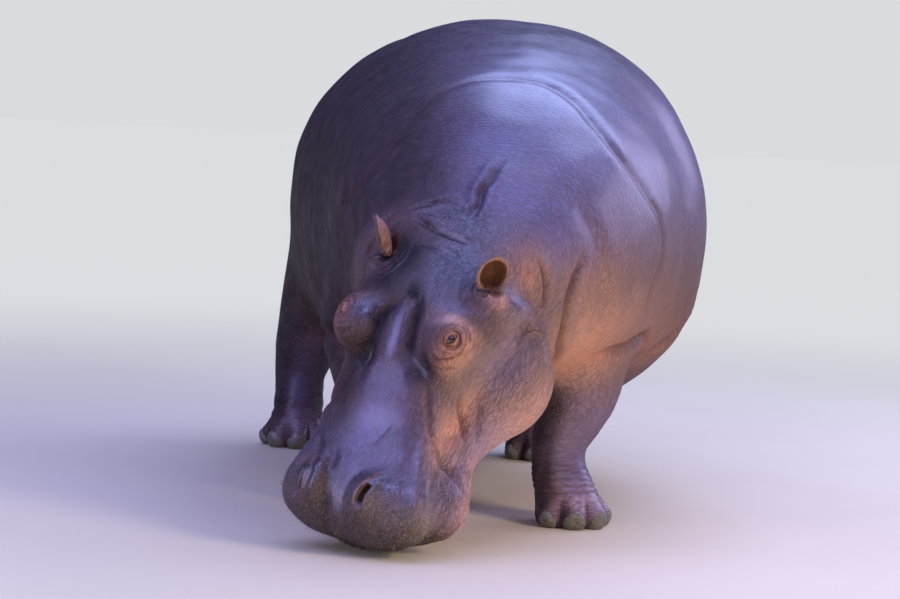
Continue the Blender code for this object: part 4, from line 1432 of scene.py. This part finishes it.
bristleRandom = np.random.default_rng(bristlePlan["seed"])
bristleLooks = bristleMaterial()
for name, makeRoots in (("muzzle", muzzleRoots), ("ear", earRoots), ("tail", tailRoots)):
    growBristles(name + "Bristles", makeRoots(bristleRandom), bristlePlan[name], bristleRandom, bristleLooks)
print("bristles grown")

cameraPlan = {
    "place": (-0.0894, -9.5589, 1.4),
    "lens": 126.28,
    "down": 4.888,  # degrees below level
    "roll": 0.052,  # radians
}


def addCamera():
    down, roll = math.radians(cameraPlan["down"]), cameraPlan["roll"]
    ahead = Vector((0, math.cos(down), -math.sin(down)))
    up = Vector((0, math.sin(down), math.cos(down)))
    right = Vector((1, 0, 0))
    across = right * math.cos(roll) + up * math.sin(roll)
    upright = up * math.cos(roll) - right * math.sin(roll)
    turn = Matrix((across, upright, -ahead)).transposed().to_4x4()
    data = bpy.data.cameras.new("camera")
    data.lens = cameraPlan["lens"]
    data.sensor_width = 36
    data.clip_end = 100
    camera = addObject("camera", data)
    camera.matrix_world = Matrix.Translation(cameraPlan["place"]) @ turn
    bpy.context.scene.camera = camera


lampPlan = {  # place, target, size, power, colour, and what it shows on: matt skin, gloss or both
    "key": ((4.6, -4.4, 3.0), (0, -0.6, 0.6), (2.0, 2.0), 350, (1.0, 0.88, 0.76), "matt"),
    "ground": ((0.66, -1.45, 0.03), (0.65, -1.45, 1.0), (1.1, 1.3), 36, (1.0, 0.80, 0.58), "matt"),
    "front": ((-1.9, -7.2, 1.6), (-0.2, -1.4, 0.3), (2.6, 1.6), 82, (1.0, 0.88, 0.60), "matt"),
    "sky": ((0.2, -1.2, 6.0), (0.2, -1.1, 0.7), (5.0, 4.4), 225, (0.36, 0.43, 1.0), "both"),
    "skyRight": ((3.6, 1.4, 2.2), (0.4, -0.5, 0.9), (4.4, 2.4), 130, (0.62, 0.60, 1.0), "both"),
    "sheenLeft": ((-2.6, -2.4, 0.9), (-0.25, -1.25, 0.42), (1.7, 1.9), 90, (0.50, 0.45, 1.0), "gloss"),
    "sheenFront": ((1.0, -5.0, 4.6), (0, -1.2, 0.6), (2.6, 1.8), 110, (0.36, 0.42, 1.0), "gloss"),
    "skyBack": ((1.7, 3.0, 5.0), (0.2, 0, 1.1), (4.4, 3.4), 340, (0.44, 0.54, 1.0), "both"),
    "skyLeft": ((-3.4, -2.4, 3.9), (-0.2, -1.3, 0.5), (3.6, 3.0), 165, (0.42, 0.42, 1.0), "both"),
}


def addLamp(name, place, target, size, power, colour, shows):
    data = bpy.data.lights.new(name, "AREA")
    data.shape = "RECTANGLE"
    data.size, data.size_y = size
    data.energy = power
    data.color = colour
    lamp = addObject(name, data)
    toward = Vector(target) - Vector(place)
    lamp.matrix_world = Matrix.Translation(place) @ toward.to_track_quat("-Z", "Y").to_matrix().to_4x4()
    lamp.visible_camera = False
    lamp.visible_glossy = shows != "matt"
    lamp.visible_diffuse = shows != "gloss"


addCamera()
for name, settings in lampPlan.items():
    addLamp(name, *settings)
skyPlan = {
    "way": (0.10, -0.25, 0.96),  # of the brightest part
    "low": 0.35,
    "high": 0.80,
    "dark": (0.036, 0.034, 0.034),
    "bright": (0.24, 0.29, 0.75),
    "strength": 1.0,
    "seen": (0.70, 0.71, 0.73),  # behind the floor
}


def addSky():
    world = bpy.data.worlds.new("studio")
    world.use_nodes = True
    tree = world.node_tree
    way = addNode(tree, "ShaderNodeTexCoord").outputs["Generated"]
    facing = addNode(tree, "ShaderNodeVectorMath", {0: way, 1: skyPlan["way"]}, operation="DOT_PRODUCT")
    share = between(tree, facing.outputs["Value"], skyPlan["low"], skyPlan["high"])
    light = tree.nodes["Background"]
    setInputs(tree, light, {"Color": mixColour(tree, share, skyPlan["dark"], skyPlan["bright"]),
                            "Strength": skyPlan["strength"]})
    seen = addNode(tree, "ShaderNodeBackground", {"Color": (*skyPlan["seen"], 1)})
    straight = addNode(tree, "ShaderNodeLightPath").outputs["Is Camera Ray"]
    mixed = addNode(tree, "ShaderNodeMixShader", {0: straight, 1: light.outputs[0], 2: seen.outputs[0]})
    setInputs(tree, tree.nodes["World Output"], {"Surface": mixed.outputs[0]})
    bpy.context.scene.world = world


addSky()
bpy.context.scene.view_settings.view_transform = "Standard"
floorPlan = {
    "colour": (0.56, 0.47, 0.33),
    "worn": (0.52, 0.435, 0.305),
    "near": 0.6,  # where it starts to fade into the background
    "far": 6.5,
    "size": 30,
    "roughness": 0.75,
    "grain": 0.15,
}


def floorMaterial():
    material, tree, shader = newMaterial("floor")
    black = (0.0, 0.0, 0.0)
    place = objectPlace(tree)
    patchy = placeGroup(tree, blotches, Vector=place, Scale=1.3, Contrast=1.6)
    away = addNode(tree, "ShaderNodeVectorMath", {0: place}, operation="LENGTH").outputs["Value"]
    far = between(tree, away, floorPlan["near"], floorPlan["far"])
    colour = mixColour(tree, patchy, floorPlan["colour"], floorPlan["worn"])
    setInputs(tree, shader, {"Base Color": mixColour(tree, far, colour, black),
                             "Emission Color": mixColour(tree, far, black, skyPlan["seen"]),
                             "Emission Strength": 1.0, "Roughness": floorPlan["roughness"]})
    grainy = addNode(tree, "ShaderNodeTexNoise", {"Vector": place, "Scale": 160.0, "Detail": 3.0}).outputs[0]
    addBump(tree, shader, grainy, floorPlan["grain"], 0.001)
    return material


def addFloor():
    bm = bmesh.new()
    bmesh.ops.create_grid(bm, x_segments=1, y_segments=1, size=floorPlan["size"])
    mesh = meshFrom(bm, "floor")
    mesh.materials.append(floorMaterial())
    addObject("floor", mesh)


addFloor()
print("camera, lamps, sky and floor placed")
